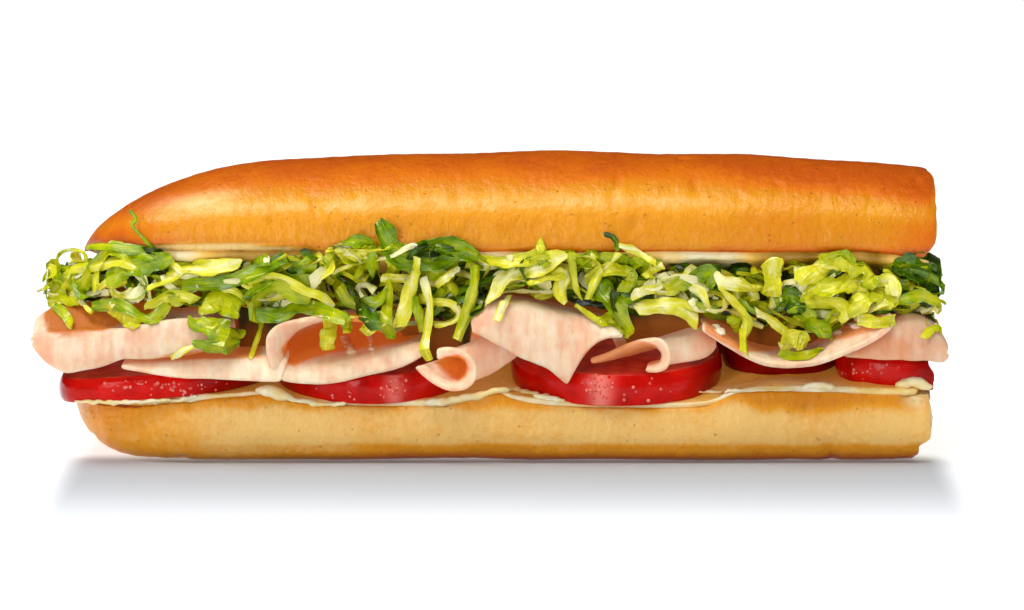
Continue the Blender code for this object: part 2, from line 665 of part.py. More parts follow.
def build_lettuce():
    below = [tree_of(name) for name in ("roll_bottom", "mayonnaise_bottom", *TOMATOES)]
    below += [tree_of(f"turkey_slice_{number}") for number in range(1, 9)]
    core = build_core(below)
    around = below + [tree_of(name) for name in ("mayonnaise_top", "roll_top")]
    chance = random.Random(11)
    shreds = bpy.data.collections.new("shreds")
    bpy.context.scene.collection.children.link(shreds)
    for number, site in enumerate(shred_sites()):
        for _ in range(SHRED_TRIES):
            points, side = shred_points(site, around, chance)
            width = chance.uniform(4.5, 7.0)
            wide = build_shred("trial", points, side, width + SHRED_SPARE, SHRED_THICK + SHRED_SPARE)
            clear = not overlaps(wide, around)
            bpy.data.objects.remove(wide)
            if clear:
                made = build_shred(f"shred_{number}", points, side, width, SHRED_THICK)
                bpy.context.scene.collection.objects.unlink(made)
                shreds.objects.link(made)
                break
    union = core.modifiers.new("union", "BOOLEAN")
    union.operation = "UNION"
    union.operand_type = "COLLECTION"
    union.collection = shreds
    union.solver = "EXACT"
    graph = bpy.context.evaluated_depsgraph_get()
    fused = bpy.data.meshes.new_from_object(core.evaluated_get(graph))
    core.modifiers.clear()
    core.data = fused
    for made in list(shreds.objects):
        bpy.data.objects.remove(made)
    bpy.data.collections.remove(shreds)


def main():
    for old in list(bpy.data.objects):
        bpy.data.objects.remove(old)
    build_roll()
    build_mayonnaise()
    build_tomatoes()
    build_turkey()
    build_lettuce()


main()
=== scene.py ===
# Submarine sandwich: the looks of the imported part.
# Sizes in the tables are millimetres unless a note says pixels of the photograph, and meshes are metres.

import math
import random

import bmesh
import bpy
import numpy as np
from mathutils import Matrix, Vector, noise
from mathutils.bvhtree import BVHTree


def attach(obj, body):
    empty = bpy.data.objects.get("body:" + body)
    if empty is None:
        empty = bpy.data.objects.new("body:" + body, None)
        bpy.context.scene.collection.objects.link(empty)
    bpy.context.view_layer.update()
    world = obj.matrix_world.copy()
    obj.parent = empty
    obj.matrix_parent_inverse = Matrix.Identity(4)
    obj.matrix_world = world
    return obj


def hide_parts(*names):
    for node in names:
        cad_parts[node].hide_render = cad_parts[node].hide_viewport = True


mm = 0.001
fullTurn = 2 * math.pi
sharpEdge = math.radians(38)  # edges of the solids that stay crisp when they are smoothed

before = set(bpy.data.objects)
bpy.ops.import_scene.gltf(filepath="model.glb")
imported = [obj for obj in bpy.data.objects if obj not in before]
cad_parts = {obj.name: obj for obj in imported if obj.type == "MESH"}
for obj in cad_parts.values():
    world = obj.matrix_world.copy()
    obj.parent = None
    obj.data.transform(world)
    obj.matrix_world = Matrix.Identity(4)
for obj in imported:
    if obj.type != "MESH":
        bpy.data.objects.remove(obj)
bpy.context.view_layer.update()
bpy.ops.object.select_all(action="DESELECT")
print("frame loaded:", len(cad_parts), "nodes")

# Camera

cameraLook = {
    "target": (1.2, -36.0, 38.45),  # the point at the middle of the picture
    "down": 7.0,  # degrees below the horizon
    "distance": 1100.0,
    "pixel": 0.24,  # millimetres at the target for each pixel
    "middle": (512.0, 305.0),
    "width": 1024.0,
    "sensor": 36.0,
}
downAngle = math.radians(cameraLook["down"])
viewForward = Vector((0, math.cos(downAngle), -math.sin(downAngle)))
viewUp = Vector((0, math.sin(downAngle), math.cos(downAngle)))
viewTarget = Vector(cameraLook["target"]) * mm
viewFrom = viewTarget - viewForward * cameraLook["distance"] * mm


def addCamera():
    bpy.ops.object.camera_add(location=viewFrom, rotation=(math.radians(90) - downAngle, 0, 0))
    camera = bpy.context.object
    camera.name = "camera"
    camera.data.sensor_width = cameraLook["sensor"]
    frameWidth = cameraLook["width"] * cameraLook["pixel"]
    camera.data.lens = cameraLook["sensor"] * cameraLook["distance"] / frameWidth
    camera.data.dof.use_dof = False
    bpy.context.scene.camera = camera


def pixelRay(px, py):
    # From the camera through a pixel of the photograph
    across = (px - cameraLook["middle"][0]) * cameraLook["pixel"] * mm
    upward = (cameraLook["middle"][1] - py) * cameraLook["pixel"] * mm
    point = viewTarget + Vector((across, 0, 0)) + viewUp * upward
    return viewFrom, (point - viewFrom).normalized()


def toPixels(points):
    # Where the camera of the photograph sees each point
    offset = points * mm - np.array(viewFrom)
    depth = offset @ np.array(viewForward)
    scale = cameraLook["distance"] / cameraLook["pixel"]
    px = cameraLook["middle"][0] + scale * offset[:, 0] / depth
    py = cameraLook["middle"][1] - scale * (offset @ np.array(viewUp)) / depth
    return px, py


addCamera()

# Small tools


def linear(hexColour):
    parts = [int(hexColour[i : i + 2], 16) / 255 for i in (1, 3, 5)]
    return (*(p / 12.92 if p <= 0.04045 else ((p + 0.055) / 1.055) ** 2.4 for p in parts), 1)


def setNode(tree, node, values=None, links=None):
    # Fixed values, and links from sockets or from the first outputs of nodes
    for name, value in (values or {}).items():
        node.inputs[name].default_value = value
    for name, source in (links or {}).items():
        tree.links.new(getattr(source, "outputs", [source])[0], node.inputs[name])


def addNode(tree, kind, values=None, links=None, stops=None, **settings):
    made = tree.nodes.new("ShaderNode" + kind)
    for name, value in settings.items():
        setattr(made, name, value)
    setNode(tree, made, values, links)
    if stops:
        ramp = made.color_ramp
        while len(ramp.elements) < len(stops):
            ramp.elements.new(0.5)
        for element, (place, colour) in zip(ramp.elements, stops):
            element.position = place
            element.color = linear(colour)
    return made


def startMaterial(name, *shares):
    # A new material, its nodes and shader, and the attributes that it reads
    material = bpy.data.materials.new(name)
    material.use_nodes = True
    tree = material.node_tree
    read = [addNode(tree, "Attribute", attribute_name=share).outputs["Fac"] for share in shares]
    return material, tree, tree.nodes["Principled BSDF"], *read


def addShade(tree, colour, paintedShadeShare):
    # Painted shade: darkens a colour by a share
    shaded = addNode(tree, "Mix", {7: (0, 0, 0, 1)}, {"Factor": paintedShadeShare, 6: colour}, data_type="RGBA")
    return shaded.outputs[2]


def smoothStep(value):
    value = np.clip(value, 0.0, 1.0)
    return value * value * (3 - 2 * value)


def hill(value, middle, half):
    return np.exp(-(((value - middle) / half) ** 2))


def bands(rows, **measures):
    # The sum of soft steps: how much, of which measure, from where, and over how far
    return sum(amount * smoothStep((measures[key] - start) / span) for amount, key, start, span in rows)


def select(piece):
    bpy.ops.object.select_all(action="DESELECT")
    piece.select_set(True)
    bpy.context.view_layer.objects.active = piece


def applyModifier(piece, kind, **settings):
    select(piece)
    modifier = piece.modifiers.new(kind.lower(), kind)
    for name, value in settings.items():
        setattr(modifier, name, value)
    bpy.ops.object.modifier_apply(modifier=modifier.name)


def editMode(piece, *steps):
    # Everything selected, then each operator with its settings, in edit mode
    select(piece)
    bpy.ops.object.mode_set(mode="EDIT")
    bpy.ops.mesh.select_all(action="SELECT")
    for operator, settings in steps:
        operator(**settings)
    bpy.ops.object.mode_set(mode="OBJECT")


def copyNode(nodeName, pieceName, look):
    # A CAD node's mesh is loose triangles, so its copy is merged, turned to quads and smoothed
    crease, level = look["smoothing"]
    piece = bpy.data.objects.new(pieceName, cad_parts[nodeName].data.copy())
    bpy.context.scene.collection.objects.link(piece)
    piece.data.materials.clear()
    editMode(
        piece, (bpy.ops.mesh.remove_doubles, {"threshold": 1e-5}),
        (bpy.ops.mesh.tris_convert_to_quads, {"face_threshold": 0.6, "shape_threshold": 0.9})
    )
    work = bmesh.new()
    work.from_mesh(piece.data)
    layer = work.edges.layers.float.get("crease_edge") or work.edges.layers.float.new("crease_edge")
    for edge in work.edges:
        if len(edge.link_faces) == 2 and edge.calc_face_angle() > sharpEdge:
            edge[layer] = crease
    work.to_mesh(piece.data)
    work.free()
    applyModifier(piece, "SUBSURF", levels=level, render_levels=level)
    return piece


def readPoints(mesh):
    points = np.zeros(len(mesh.vertices) * 3, np.float32)
    mesh.vertices.foreach_get("co", points)
    normals = np.zeros(len(mesh.vertices) * 3, np.float32)
    mesh.vertex_normals.foreach_get("vector", normals)
    return points.reshape(-1, 3) / mm, normals.reshape(-1, 3)


def writePoints(mesh, points):
    mesh.vertices.foreach_set("co", (np.asarray(points, np.float32) * mm).ravel())
    mesh.update()


def writeShare(mesh, name, values):
    layer = mesh.attributes.get(name) or mesh.attributes.new(name, "FLOAT", "POINT")
    layer.data.foreach_set("value", np.asarray(values, np.float32))


def noiseAt(points, size, shift=0.0):
    # Smooth noise from -1 to 1 with features of the given size in millimetres, or a size for each axis
    scaled = points / np.asarray(size, float) + shift
    return np.array([noise.noise(Vector(p)) for p in scaled])


def finishPiece(piece, material, slot, *replaced):
    piece.data.materials.clear()
    piece.data.materials.append(material)
    select(piece)
    bpy.ops.object.shade_smooth()
    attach(piece, "root")
    if replaced:
        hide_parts(*replaced)


# Roll

rollLook = {
    "smoothing": (0.75, 3),  # crease of the crisp edges, and levels
    "crustGrow": 0.35,  # what the smoothing takes away is put back
    "crustSwell": (0.5, 24.0),  # depth and size of the slow unevenness
    "crustWrinkle": (0.12, (2.4, 6.0, 6.0)),
    "crustDents": (0.7, (4.0, 9.0, 9.0), 0.42),  # depth, size, and how rare
    "crumbPits": (0.55, 2.6),
    "crumbGrain": (0.3, 1.3),
    "pale": "#f1c26e",
    "golden": "#e89a14",
    "amber": "#d98806",
    "browned": "#d96f04",
    "dark": "#c45504",
    "cutFace": (0.62, 0.2),  # how squarely a face looks the knife's way before it is crumb, and over what
    "endFace": (0.66, 0.2, 2.6),  # the same for the cut end, and how far in it may lie
    "cutAt": {"top": 103.6, "bottom": 102.5},
    "hemAt": {"top": (-34.0, 100), "bottom": (-35.6, 95)},  # the crust keeps its edge before this y and x
    "topBake": 0.42,
    "topBands": (  # how much browner, by what, from where and over how far
        (0.54, "up", 0.62, 0.42),  # the more it faces up
        (0.3, "up", -0.3, -0.4),
        (0.48, "x", -70, -32),  # both ends
        (0.12, "x", 30, 50),
        (0.22, "x", 86, 16),
    ),
    "paintedHighlightBand": (0.2, 0.58, 0.18),  # painted highlight: how much paler the crust is painted where the light is mirrored, at which upward tilt, and how wide
    # near the round end the painted highlight band sits at a steeper upward tilt
    "paintedHighlightBandEnds": ((0.13, "x", -52, -26),),
    "mottle": {"top": (0.08, 17.0, 4.0), "bottom": (0.1, 15.0, 6.0)},  # depth, size and place of the noise
    "hem": ((150, 180, 245, 300, 345, 600, 790, 930), (245, 242, 243, 247, 250, 250, 251, 255)),  # pixels
    "hemBrown": (0.16, -3, 3.0),
    "bared": (0.4, 0.5, 345),  # crumb below the crust at the left: share, how much paler, up to which pixel
    "paintedShine": (196, 203, 36, 7.5),  # the broad painted highlight near the round end: middle and half size in pixels
    "paintedShineSlope": 0.16,
    "paintedShinePaler": 0.38,
    "paintedShineCrumb": 0.48,
    "topEnd": ((5.0, "z", 66.5, 6), (4.4, "z", 54.0, -6.5)),  # how far the cut end's corners draw in
    "topEndFrom": ((1, "x", 84, 16),),
    "bottomBake": 0.04,
    "bottomBands": ((0.3, "x", -62, -40), (0.46, "edge", 11.8, 4.2)),
    "baseBands": ((0.26, "base", 5.6, -1.3), (0.6, "z", 3.8, -3.6)),
    "baseShare": 0.2,  # the base is browner except near the round end
    "baseFrom": ((0.9, "x", -80, 60),),
    "baseWaver": (0.5, 7.0),  # depth and size
    "edgeWaver": (2.4, (9.0, 30.0, 30.0)),
    "tornFrom": ((1, "x", 93, 6),),  # the crust is torn near the cut end
    "tornAbove": ((1, "z", 12, 4),),
    "tornPatches": (0.6, 0.7, 4.0),  # middle, depth and size
    "bottomEnd": ((2.6, "z", 6.2, -2.2), (1.8, "z", 2.6, -2.6)),
    "bottomEndFrom": ((1, "x", 88, 14),),
    "crumb": "#f2dca4",
    "crumbHollow": "#d3a446",
}


def rollMaterial():
    # Milk roll baked with a brushed egg wash: a soft gloss, mottled gold to brown, over an open cream crumb
    material, tree, shader, bakeAndSheen, crumb = startMaterial("eggWashedRoll", "bakeAndSheen", "crumb")
    where = addNode(tree, "TexCoord").outputs["Object"]
    mottle = addNode(
        tree, "TexNoise", {"Scale": 95.0, "Detail": 4.0, "Roughness": 0.62}, {"Vector": where}
    )  # blotches of about 10 mm
    fine = addNode(
        tree, "TexNoise", {"Scale": 620.0, "Detail": 3.0, "Roughness": 0.6}, {"Vector": where}
    )  # grain of about 1.6 mm
    spread = addNode(tree, "Math", {1: 0.44, 2: -0.22}, {0: mottle}, operation="MULTIPLY_ADD")
    spreadFine = addNode(tree, "Math", {1: 0.3, 2: -0.15}, {0: fine}, operation="MULTIPLY_ADD")
    # bakeAndSheen holds how baked the crust is, lowered where a highlight is painted paler
    shiftA = addNode(tree, "Math", None, {0: bakeAndSheen, 1: spread}, operation="ADD")
    shiftB = addNode(tree, "Math", None, {0: shiftA, 1: spreadFine}, operation="ADD")
    crust = addNode(
        tree, "ValToRGB", None, {"Fac": shiftB},
        (
            (0.0, rollLook["pale"]), (0.28, rollLook["golden"]), (0.5, rollLook["amber"]),
            (0.76, rollLook["browned"]), (1.0, rollLook["dark"])
        )
    )
    pores = addNode(
        tree, "TexVoronoi", {"Scale": 330.0, "Randomness": 1.0}, {"Vector": where}
    )  # a pore about every 3 mm
    poreMask = addNode(
        tree, "MapRange", {"From Min": 0.04, "From Max": 0.13, "To Min": 0.72, "To Max": 1.0},
        {"Value": pores}
    )
    speckled = addNode(
        tree, "Mix", {"Factor": 1.0}, {6: crust, 7: poreMask}, data_type="RGBA", blend_type="MULTIPLY"
    )
    unevenCells = addNode(tree, "TexNoise", {"Scale": 210.0, "Detail": 2.0}, {"Vector": where})
    bentWhere = addNode(
        tree, "VectorMath", {1: (0.006, 0.006, 0.006)}, {0: unevenCells.outputs["Color"], 2: where},
        operation="MULTIPLY_ADD"
    )
    cells = addNode(
        tree, "TexVoronoi", {"Scale": 480.0, "Randomness": 1.0}, {"Vector": bentWhere}
    )  # crumb cells of about 2 mm, some drawn out
    cellNoise = addNode(tree, "TexNoise", {"Scale": 900.0, "Detail": 3.0}, {"Vector": where})
    crumbMix = addNode(tree, "Math", None, {0: cells, 1: cellNoise}, operation="MULTIPLY")
    crumbColour = addNode(
        tree, "ValToRGB", None, {"Fac": crumbMix},
        ((0.0, rollLook["crumbHollow"]), (0.16, "#ecd08f"), (0.34, rollLook["crumb"]))
    )
    colour = addNode(
        tree, "Mix", None, {"Factor": crumb, 6: speckled.outputs[2], 7: crumbColour}, data_type="RGBA"
    )
    rough = addNode(tree, "MapRange", {"To Min": 0.27, "To Max": 0.8}, {"Value": crumb})
    roughNoise = addNode(tree, "Math", {1: 0.16}, {0: mottle, 2: rough}, operation="MULTIPLY_ADD")
    skinStretch = addNode(
        tree, "Mapping", {"Scale": (260.0, 110.0, 110.0)}, {"Vector": where}
    )  # the skin puckers in lines 4 mm apart that run up and down
    skin = addNode(
        tree, "TexNoise", {"Scale": 1.0, "Detail": 3.0, "Roughness": 0.5}, {"Vector": skinStretch}
    )
    skinFine = addNode(tree, "Math", {1: 0.5}, {0: fine, 2: skin}, operation="MULTIPLY_ADD")
    skinPores = addNode(tree, "Math", {1: 0.9}, {0: poreMask, 2: skinFine}, operation="MULTIPLY_ADD")
    height = addNode(tree, "Mix", None, {"Factor": crumb, 2: skinPores, 3: crumbMix}, data_type="FLOAT")
    bump = addNode(tree, "Bump", {"Strength": 0.7, "Distance": 0.001}, {"Height": height})
    setNode(
        tree, shader,
        {
            "Subsurface Weight": 0.12, "Subsurface Radius": (1.0, 0.5, 0.2), "Subsurface Scale": 0.002,
            "Specular IOR Level": 0.32
        },
        {"Base Color": colour.outputs[2], "Roughness": roughNoise, "Normal": bump}
    )
    return material


def crumbShare(side, points, normals, facing):
    # Where the knife went: the long cut face, and the flat right end
    start, span = rollLook["cutFace"]
    longFace = smoothStep((normals @ np.array(facing) - start) / span)
    start, span, within = rollLook["endFace"]
    endFace = smoothStep((normals[:, 0] - start) / span) * (points[:, 0] > rollLook["cutAt"][side] - within)
    crumb = np.maximum(longFace, endFace)
    hemY, hemX = rollLook["hemAt"][side]
    crumb[(points[:, 1] < hemY) & (points[:, 0] < hemX)] = 0
    return crumb


def unevenRoll(piece, crumb, shift):
    points, normals = readPoints(piece.data)
    swellDepth, swellSize = rollLook["crustSwell"]
    wrinkleDepth, wrinkleSize = rollLook["crustWrinkle"]
    pitDepth, pitSize = rollLook["crumbPits"]
    grainDepth, grainSize = rollLook["crumbGrain"]
    crust = 1 - crumb
    moved = rollLook["crustGrow"] * crust
    moved += swellDepth * noiseAt(points, swellSize, shift) * crust
    moved += wrinkleDepth * noiseAt(points, wrinkleSize, shift + 7) * crust
    dentDepth, dentSize, dentRare = rollLook["crustDents"]
    dents = smoothStep((noiseAt(points, dentSize, shift + 11) - dentRare) / 0.3)
    moved -= dentDepth * dents * crust
    moved += (pitDepth * noiseAt(points, pitSize, shift) - 0.2) * crumb
    moved += grainDepth * noiseAt(points, grainSize, shift + 3) * crumb
    return points + normals * moved[:, None]


def mottled(side, points):
    depth, size, place = rollLook["mottle"][side]
    return depth * noiseAt(points, size, place)


def finishRoll(piece, points, crumb, bakeAndSheen, material, node):
    writePoints(piece.data, points)
    writeShare(piece.data, "crumb", crumb)
    writeShare(piece.data, "bakeAndSheen", np.clip(bakeAndSheen, 0, 1))
    finishPiece(piece, material, "crust", node)
    return piece


def buildTopRoll(material):
    piece = copyNode("roll_top", "rollTop", rollLook)
    points, normals = readPoints(piece.data)
    x, y, z = points.T
    up = normals[:, 2]
    crumb = crumbShare("top", points, normals, (0, -0.12, -0.99))
    # painted highlight: the crust is painted paler along the band where the softboxes are mirrored
    paler, tilt, wide = rollLook["paintedHighlightBand"]
    bakeAndSheen = rollLook["topBake"] + bands(rollLook["topBands"], up=up, x=x) + mottled("top", points)
    bakeAndSheen -= paler * hill(up, tilt + bands(rollLook["paintedHighlightBandEnds"], x=x), wide)
    px, py = toPixels(points)
    below = py - np.interp(px, *rollLook["hem"])
    share, baredPaler, baredTo = rollLook["bared"]
    bared = smoothStep(below / 2.5) * (y < 0) * (z < 60) * (px < baredTo)
    browner, hemMiddle, hemHalf = rollLook["hemBrown"]
    bakeAndSheen += browner * hill(below, hemMiddle, hemHalf) * (y < 0) - baredPaler * bared
    # painted highlight: a broad pale patch near the round end, paler crust mixed with crumb colour
    shineX, shineY, shineWide, shineHigh = rollLook["paintedShine"]
    slanted = py + rollLook["paintedShineSlope"] * (px - shineX)
    paintedShine = hill(px, shineX, shineWide) * hill(slanted, shineY, shineHigh) * (y < 10)
    bakeAndSheen -= rollLook["paintedShinePaler"] * paintedShine
    crumb = np.maximum(crumb, np.maximum(share * bared, rollLook["paintedShineCrumb"] * paintedShine))
    moved = unevenRoll(piece, crumb, 2.0)
    moved[:, 0] -= bands(rollLook["topEnd"], z=z) * bands(rollLook["topEndFrom"], x=x)
    return finishRoll(piece, moved, crumb, bakeAndSheen, material, "roll_top")


def buildBottomRoll(material):
    piece = copyNode("roll_bottom", "rollBottom", rollLook)
    points, normals = readPoints(piece.data)
    x, y, z = points.T
    crumb = crumbShare("bottom", points, normals, (0, -0.1, 0.99))
    torn = bands(rollLook["tornFrom"], x=x) * bands(rollLook["tornAbove"], z=z)
    middle, depth, size = rollLook["tornPatches"]
    torn = torn * (middle + depth * noiseAt(points, size, 9.0))
    crumb = np.clip(np.maximum(crumb, torn), 0, 1)
    based = rollLook["baseShare"] + bands(rollLook["baseFrom"], x=x)
    depth, size = rollLook["edgeWaver"]
    edge = z + depth * noiseAt(points, size, 3.0)
    depth, size = rollLook["baseWaver"]
    base = z - depth * noiseAt(points, size, 2.0)
    bakeAndSheen = rollLook["bottomBake"] + mottled("bottom", points)
    bakeAndSheen += bands(rollLook["bottomBands"], x=x, edge=edge)
    bakeAndSheen += based * bands(rollLook["baseBands"], base=base, z=z)
    moved = unevenRoll(piece, crumb, 5.0)
    moved[:, 0] -= bands(rollLook["bottomEnd"], z=z) * bands(rollLook["bottomEndFrom"], x=x)
    flat = z < 0.05
    moved[flat, 2] = z[flat]
    moved[:, 2] = np.maximum(moved[:, 2], 0.0)
    return finishRoll(piece, moved, crumb, bakeAndSheen, material, "roll_bottom")


rollFinish = rollMaterial()
topRoll = buildTopRoll(rollFinish)
bottomRoll = buildBottomRoll(rollFinish)
print("roll built")

# Tomato

tomatoLook = {
    "smoothing": (0.8, 3),
    "skin": "#d6130b",
    "skinDark": "#b60e07",
    "flesh": "#d8382a",
    "pulp": "#e2582e",
    "droplets": (  # middle of a patch and its half width and height, in pixels, and how many
        (165, 386, 66, 8, 46),
        (392, 391, 13, 12, 20),
        (600, 390, 14, 13, 30),
        (640, 390, 34, 10, 10),
        (865, 374, 28, 9, 18),
        (350, 394, 40, 7, 8),
    ),
    "dropletSize": (0.22, 0.5),
    "dropletFlat": 0.7,
    "dropletRaised": 0.15,  # share of its size that its middle stands off the rim
    "dropletHidden": 0.4,  # how far a rim may lie behind something and still get one
    "juice": "#dc3a2c",
    "juicePale": "#f58a78",
    "rimFrom": (0.5, 0.3),  # how far a face tilts up or down before it is flesh, and over what
    "grow": 0.008,
    "uneven": (0.16, 9.0),  # depth and size
    "cutAt": 101.2,  # the knife went through slice 4 here
    "squared": (1, 4),  # slices whose front left corner is squarer
    "squareness": 4.2,  # 2 would be a circle
    "reach": (3.4, 12),  # slice 5 goes on to the slice at the cut end: how far, and over what length
    "sag": (0.8, 1.4, 96, 6),  # slice 4's lower half: down, to the right, from where and over how far
    "paintedReflection": "#f5887a",  # painted reflection: the band where the front slices mirror the light, painted into the skin's colour and broken by dark dots
    "paintedReflectionBands": ((394, 8, 0.6), (601, 10, 0.9)),  # pixel, half width, share
    "paintedShade": (  # painted shade along the picture, by pixel: how many hundredths darker the rims are painted where they turn from the light or lie in the shade of other things
        (58, 78, 95, 180, 205, 268, 285, 312, 430, 460, 505, 540, 575, 680, 702, 724, 834, 846, 905, 920),
        (48, 42, 2, 0, 40, 50, 30, 5, 10, 30, 40, 20, 0, 5, 35, 60, 50, 0, 8, 50),
    ),
}


def tomatoMaterial():
    # Wet tomato: taut glossy skin round the rim, and softer wet flesh on the cut faces
    material, tree, shader, rim, paintedReflection, paintedShadeShare = startMaterial("wetTomato", "rim", "paintedReflection", "paintedShadeShare")
    where = addNode(tree, "TexCoord").outputs["Object"]
    blotch = addNode(tree, "TexNoise", {"Scale": 160.0, "Detail": 3.0}, {"Vector": where})  # 6 mm
    skin = addNode(
        tree, "ValToRGB", None, {"Fac": blotch},
        ((0.3, tomatoLook["skinDark"]), (0.5, tomatoLook["skin"]), (0.75, "#dc170c"))
    )
    pulp = addNode(tree, "TexVoronoi", {"Scale": 240.0}, {"Vector": where})  # seed pockets of 4 mm
    flesh = addNode(
        tree, "ValToRGB", None, {"Fac": pulp},
        ((0.1, tomatoLook["pulp"]), (0.45, tomatoLook["flesh"]), (0.8, "#b8221a"))
    )
    colour = addNode(tree, "Mix", None, {"Factor": rim, 6: flesh, 7: skin}, data_type="RGBA")
    dots = addNode(tree, "TexVoronoi", {"Scale": 520.0}, {"Vector": where})  # 2 mm apart
    betweenDots = addNode(tree, "MapRange", {"From Min": 0.14, "From Max": 0.36}, {"Value": dots})
    # painted reflection: a pale band in the skin's colour, broken by dark dots, over the painted shade
    mirrored = addNode(tree, "Math", None, {0: paintedReflection, 1: betweenDots}, operation="MULTIPLY")
    withPaintedReflection = addNode(
        tree, "Mix", {7: linear(tomatoLook["paintedReflection"])},
        {"Factor": mirrored, 6: addShade(tree, colour.outputs[2], paintedShadeShare)}, data_type="RGBA"
    )
    rough = addNode(tree, "MapRange", {"To Min": 0.34, "To Max": 0.13}, {"Value": rim})
    grain = addNode(tree, "TexNoise", {"Scale": 700.0, "Detail": 2.0}, {"Vector": where})  # 1.4 mm
    bump = addNode(tree, "Bump", {"Strength": 0.25, "Distance": 0.0004}, {"Height": grain})
    setNode(
        tree, shader,
        {
            "Subsurface Weight": 0.1, "Subsurface Radius": (1.0, 0.15, 0.08), "Subsurface Scale": 0.001,
            "Specular IOR Level": 0.14
        },
        {"Base Color": withPaintedReflection.outputs[2], "Roughness": rough, "Normal": bump}
    )
    return material


def buildTomato(number, material):
    name = f"tomato_slice_{number}"
    piece = copyNode(name, f"tomatoSlice{number}", tomatoLook)
    points, normals = readPoints(piece.data)
    middle = (points.min(0) + points.max(0)) / 2
    start, span = tomatoLook["rimFrom"]
    rim = 1 - smoothStep((abs(normals[:, 2]) - start) / span)
    knife = (points[:, 0] > tomatoLook["cutAt"]) & (normals[:, 0] > 0.9)
    rim[knife] = 0
    outward = points - middle
    outward[:, 2] = 0
    unevenDepth, unevenSize = tomatoLook["uneven"]
    moved = points + outward * tomatoLook["grow"]
    moved += normals * (unevenDepth * noiseAt(points, unevenSize, number))[:, None]
    moved[knife, 0] = points[knife, 0]
    if number == 5:
        reach, length = tomatoLook["reach"]
        moved[:, 0] += reach * smoothStep((points[:, 0] - middle[0]) / length)
    if number == 4:
        down, aside, asideFrom, asideOver = tomatoLook["sag"]
        lower = smoothStep((middle[2] - points[:, 2]) / 2)
        moved[:, 2] -= down * lower
        moved[:, 0] += aside * lower * smoothStep((points[:, 0] - asideFrom) / asideOver)
    if number in tomatoLook["squared"]:
        centre = (middle[0] if number == 1 else points[:, 0].max(), middle[1])
        offset = moved[:, :2] - centre
        corner = (offset[:, 0] < 0) & (offset[:, 1] < 0)
        across = abs(offset) / (np.linalg.norm(offset, axis=1)[:, None] + 1e-9)
        stretch = (across ** tomatoLook["squareness"]).sum(1) ** (-1 / tomatoLook["squareness"])
        moved[corner, :2] = (centre + offset * stretch[:, None])[corner]
    writePoints(piece.data, moved)
    writeShare(piece.data, "rim", rim)
    px, _ = toPixels(points)
    # painted shade on the rims, read from the table by pixel
    writeShare(piece.data, "paintedShadeShare", np.interp(px, *tomatoLook["paintedShade"]) / 100)
    # painted reflection on the front of the rims
    paintedReflection = sum(share * hill(px, at, half) for at, half, share in tomatoLook["paintedReflectionBands"])
    writeShare(piece.data, "paintedReflection", paintedReflection * rim * (points[:, 1] < middle[1]))
    finishPiece(piece, material, "tomato", name)
    return piece


tomatoFinish = tomatoMaterial()
tomatoes = [buildTomato(number, tomatoFinish) for number in range(1, 9)]
print("tomato slices built")

# Turkey

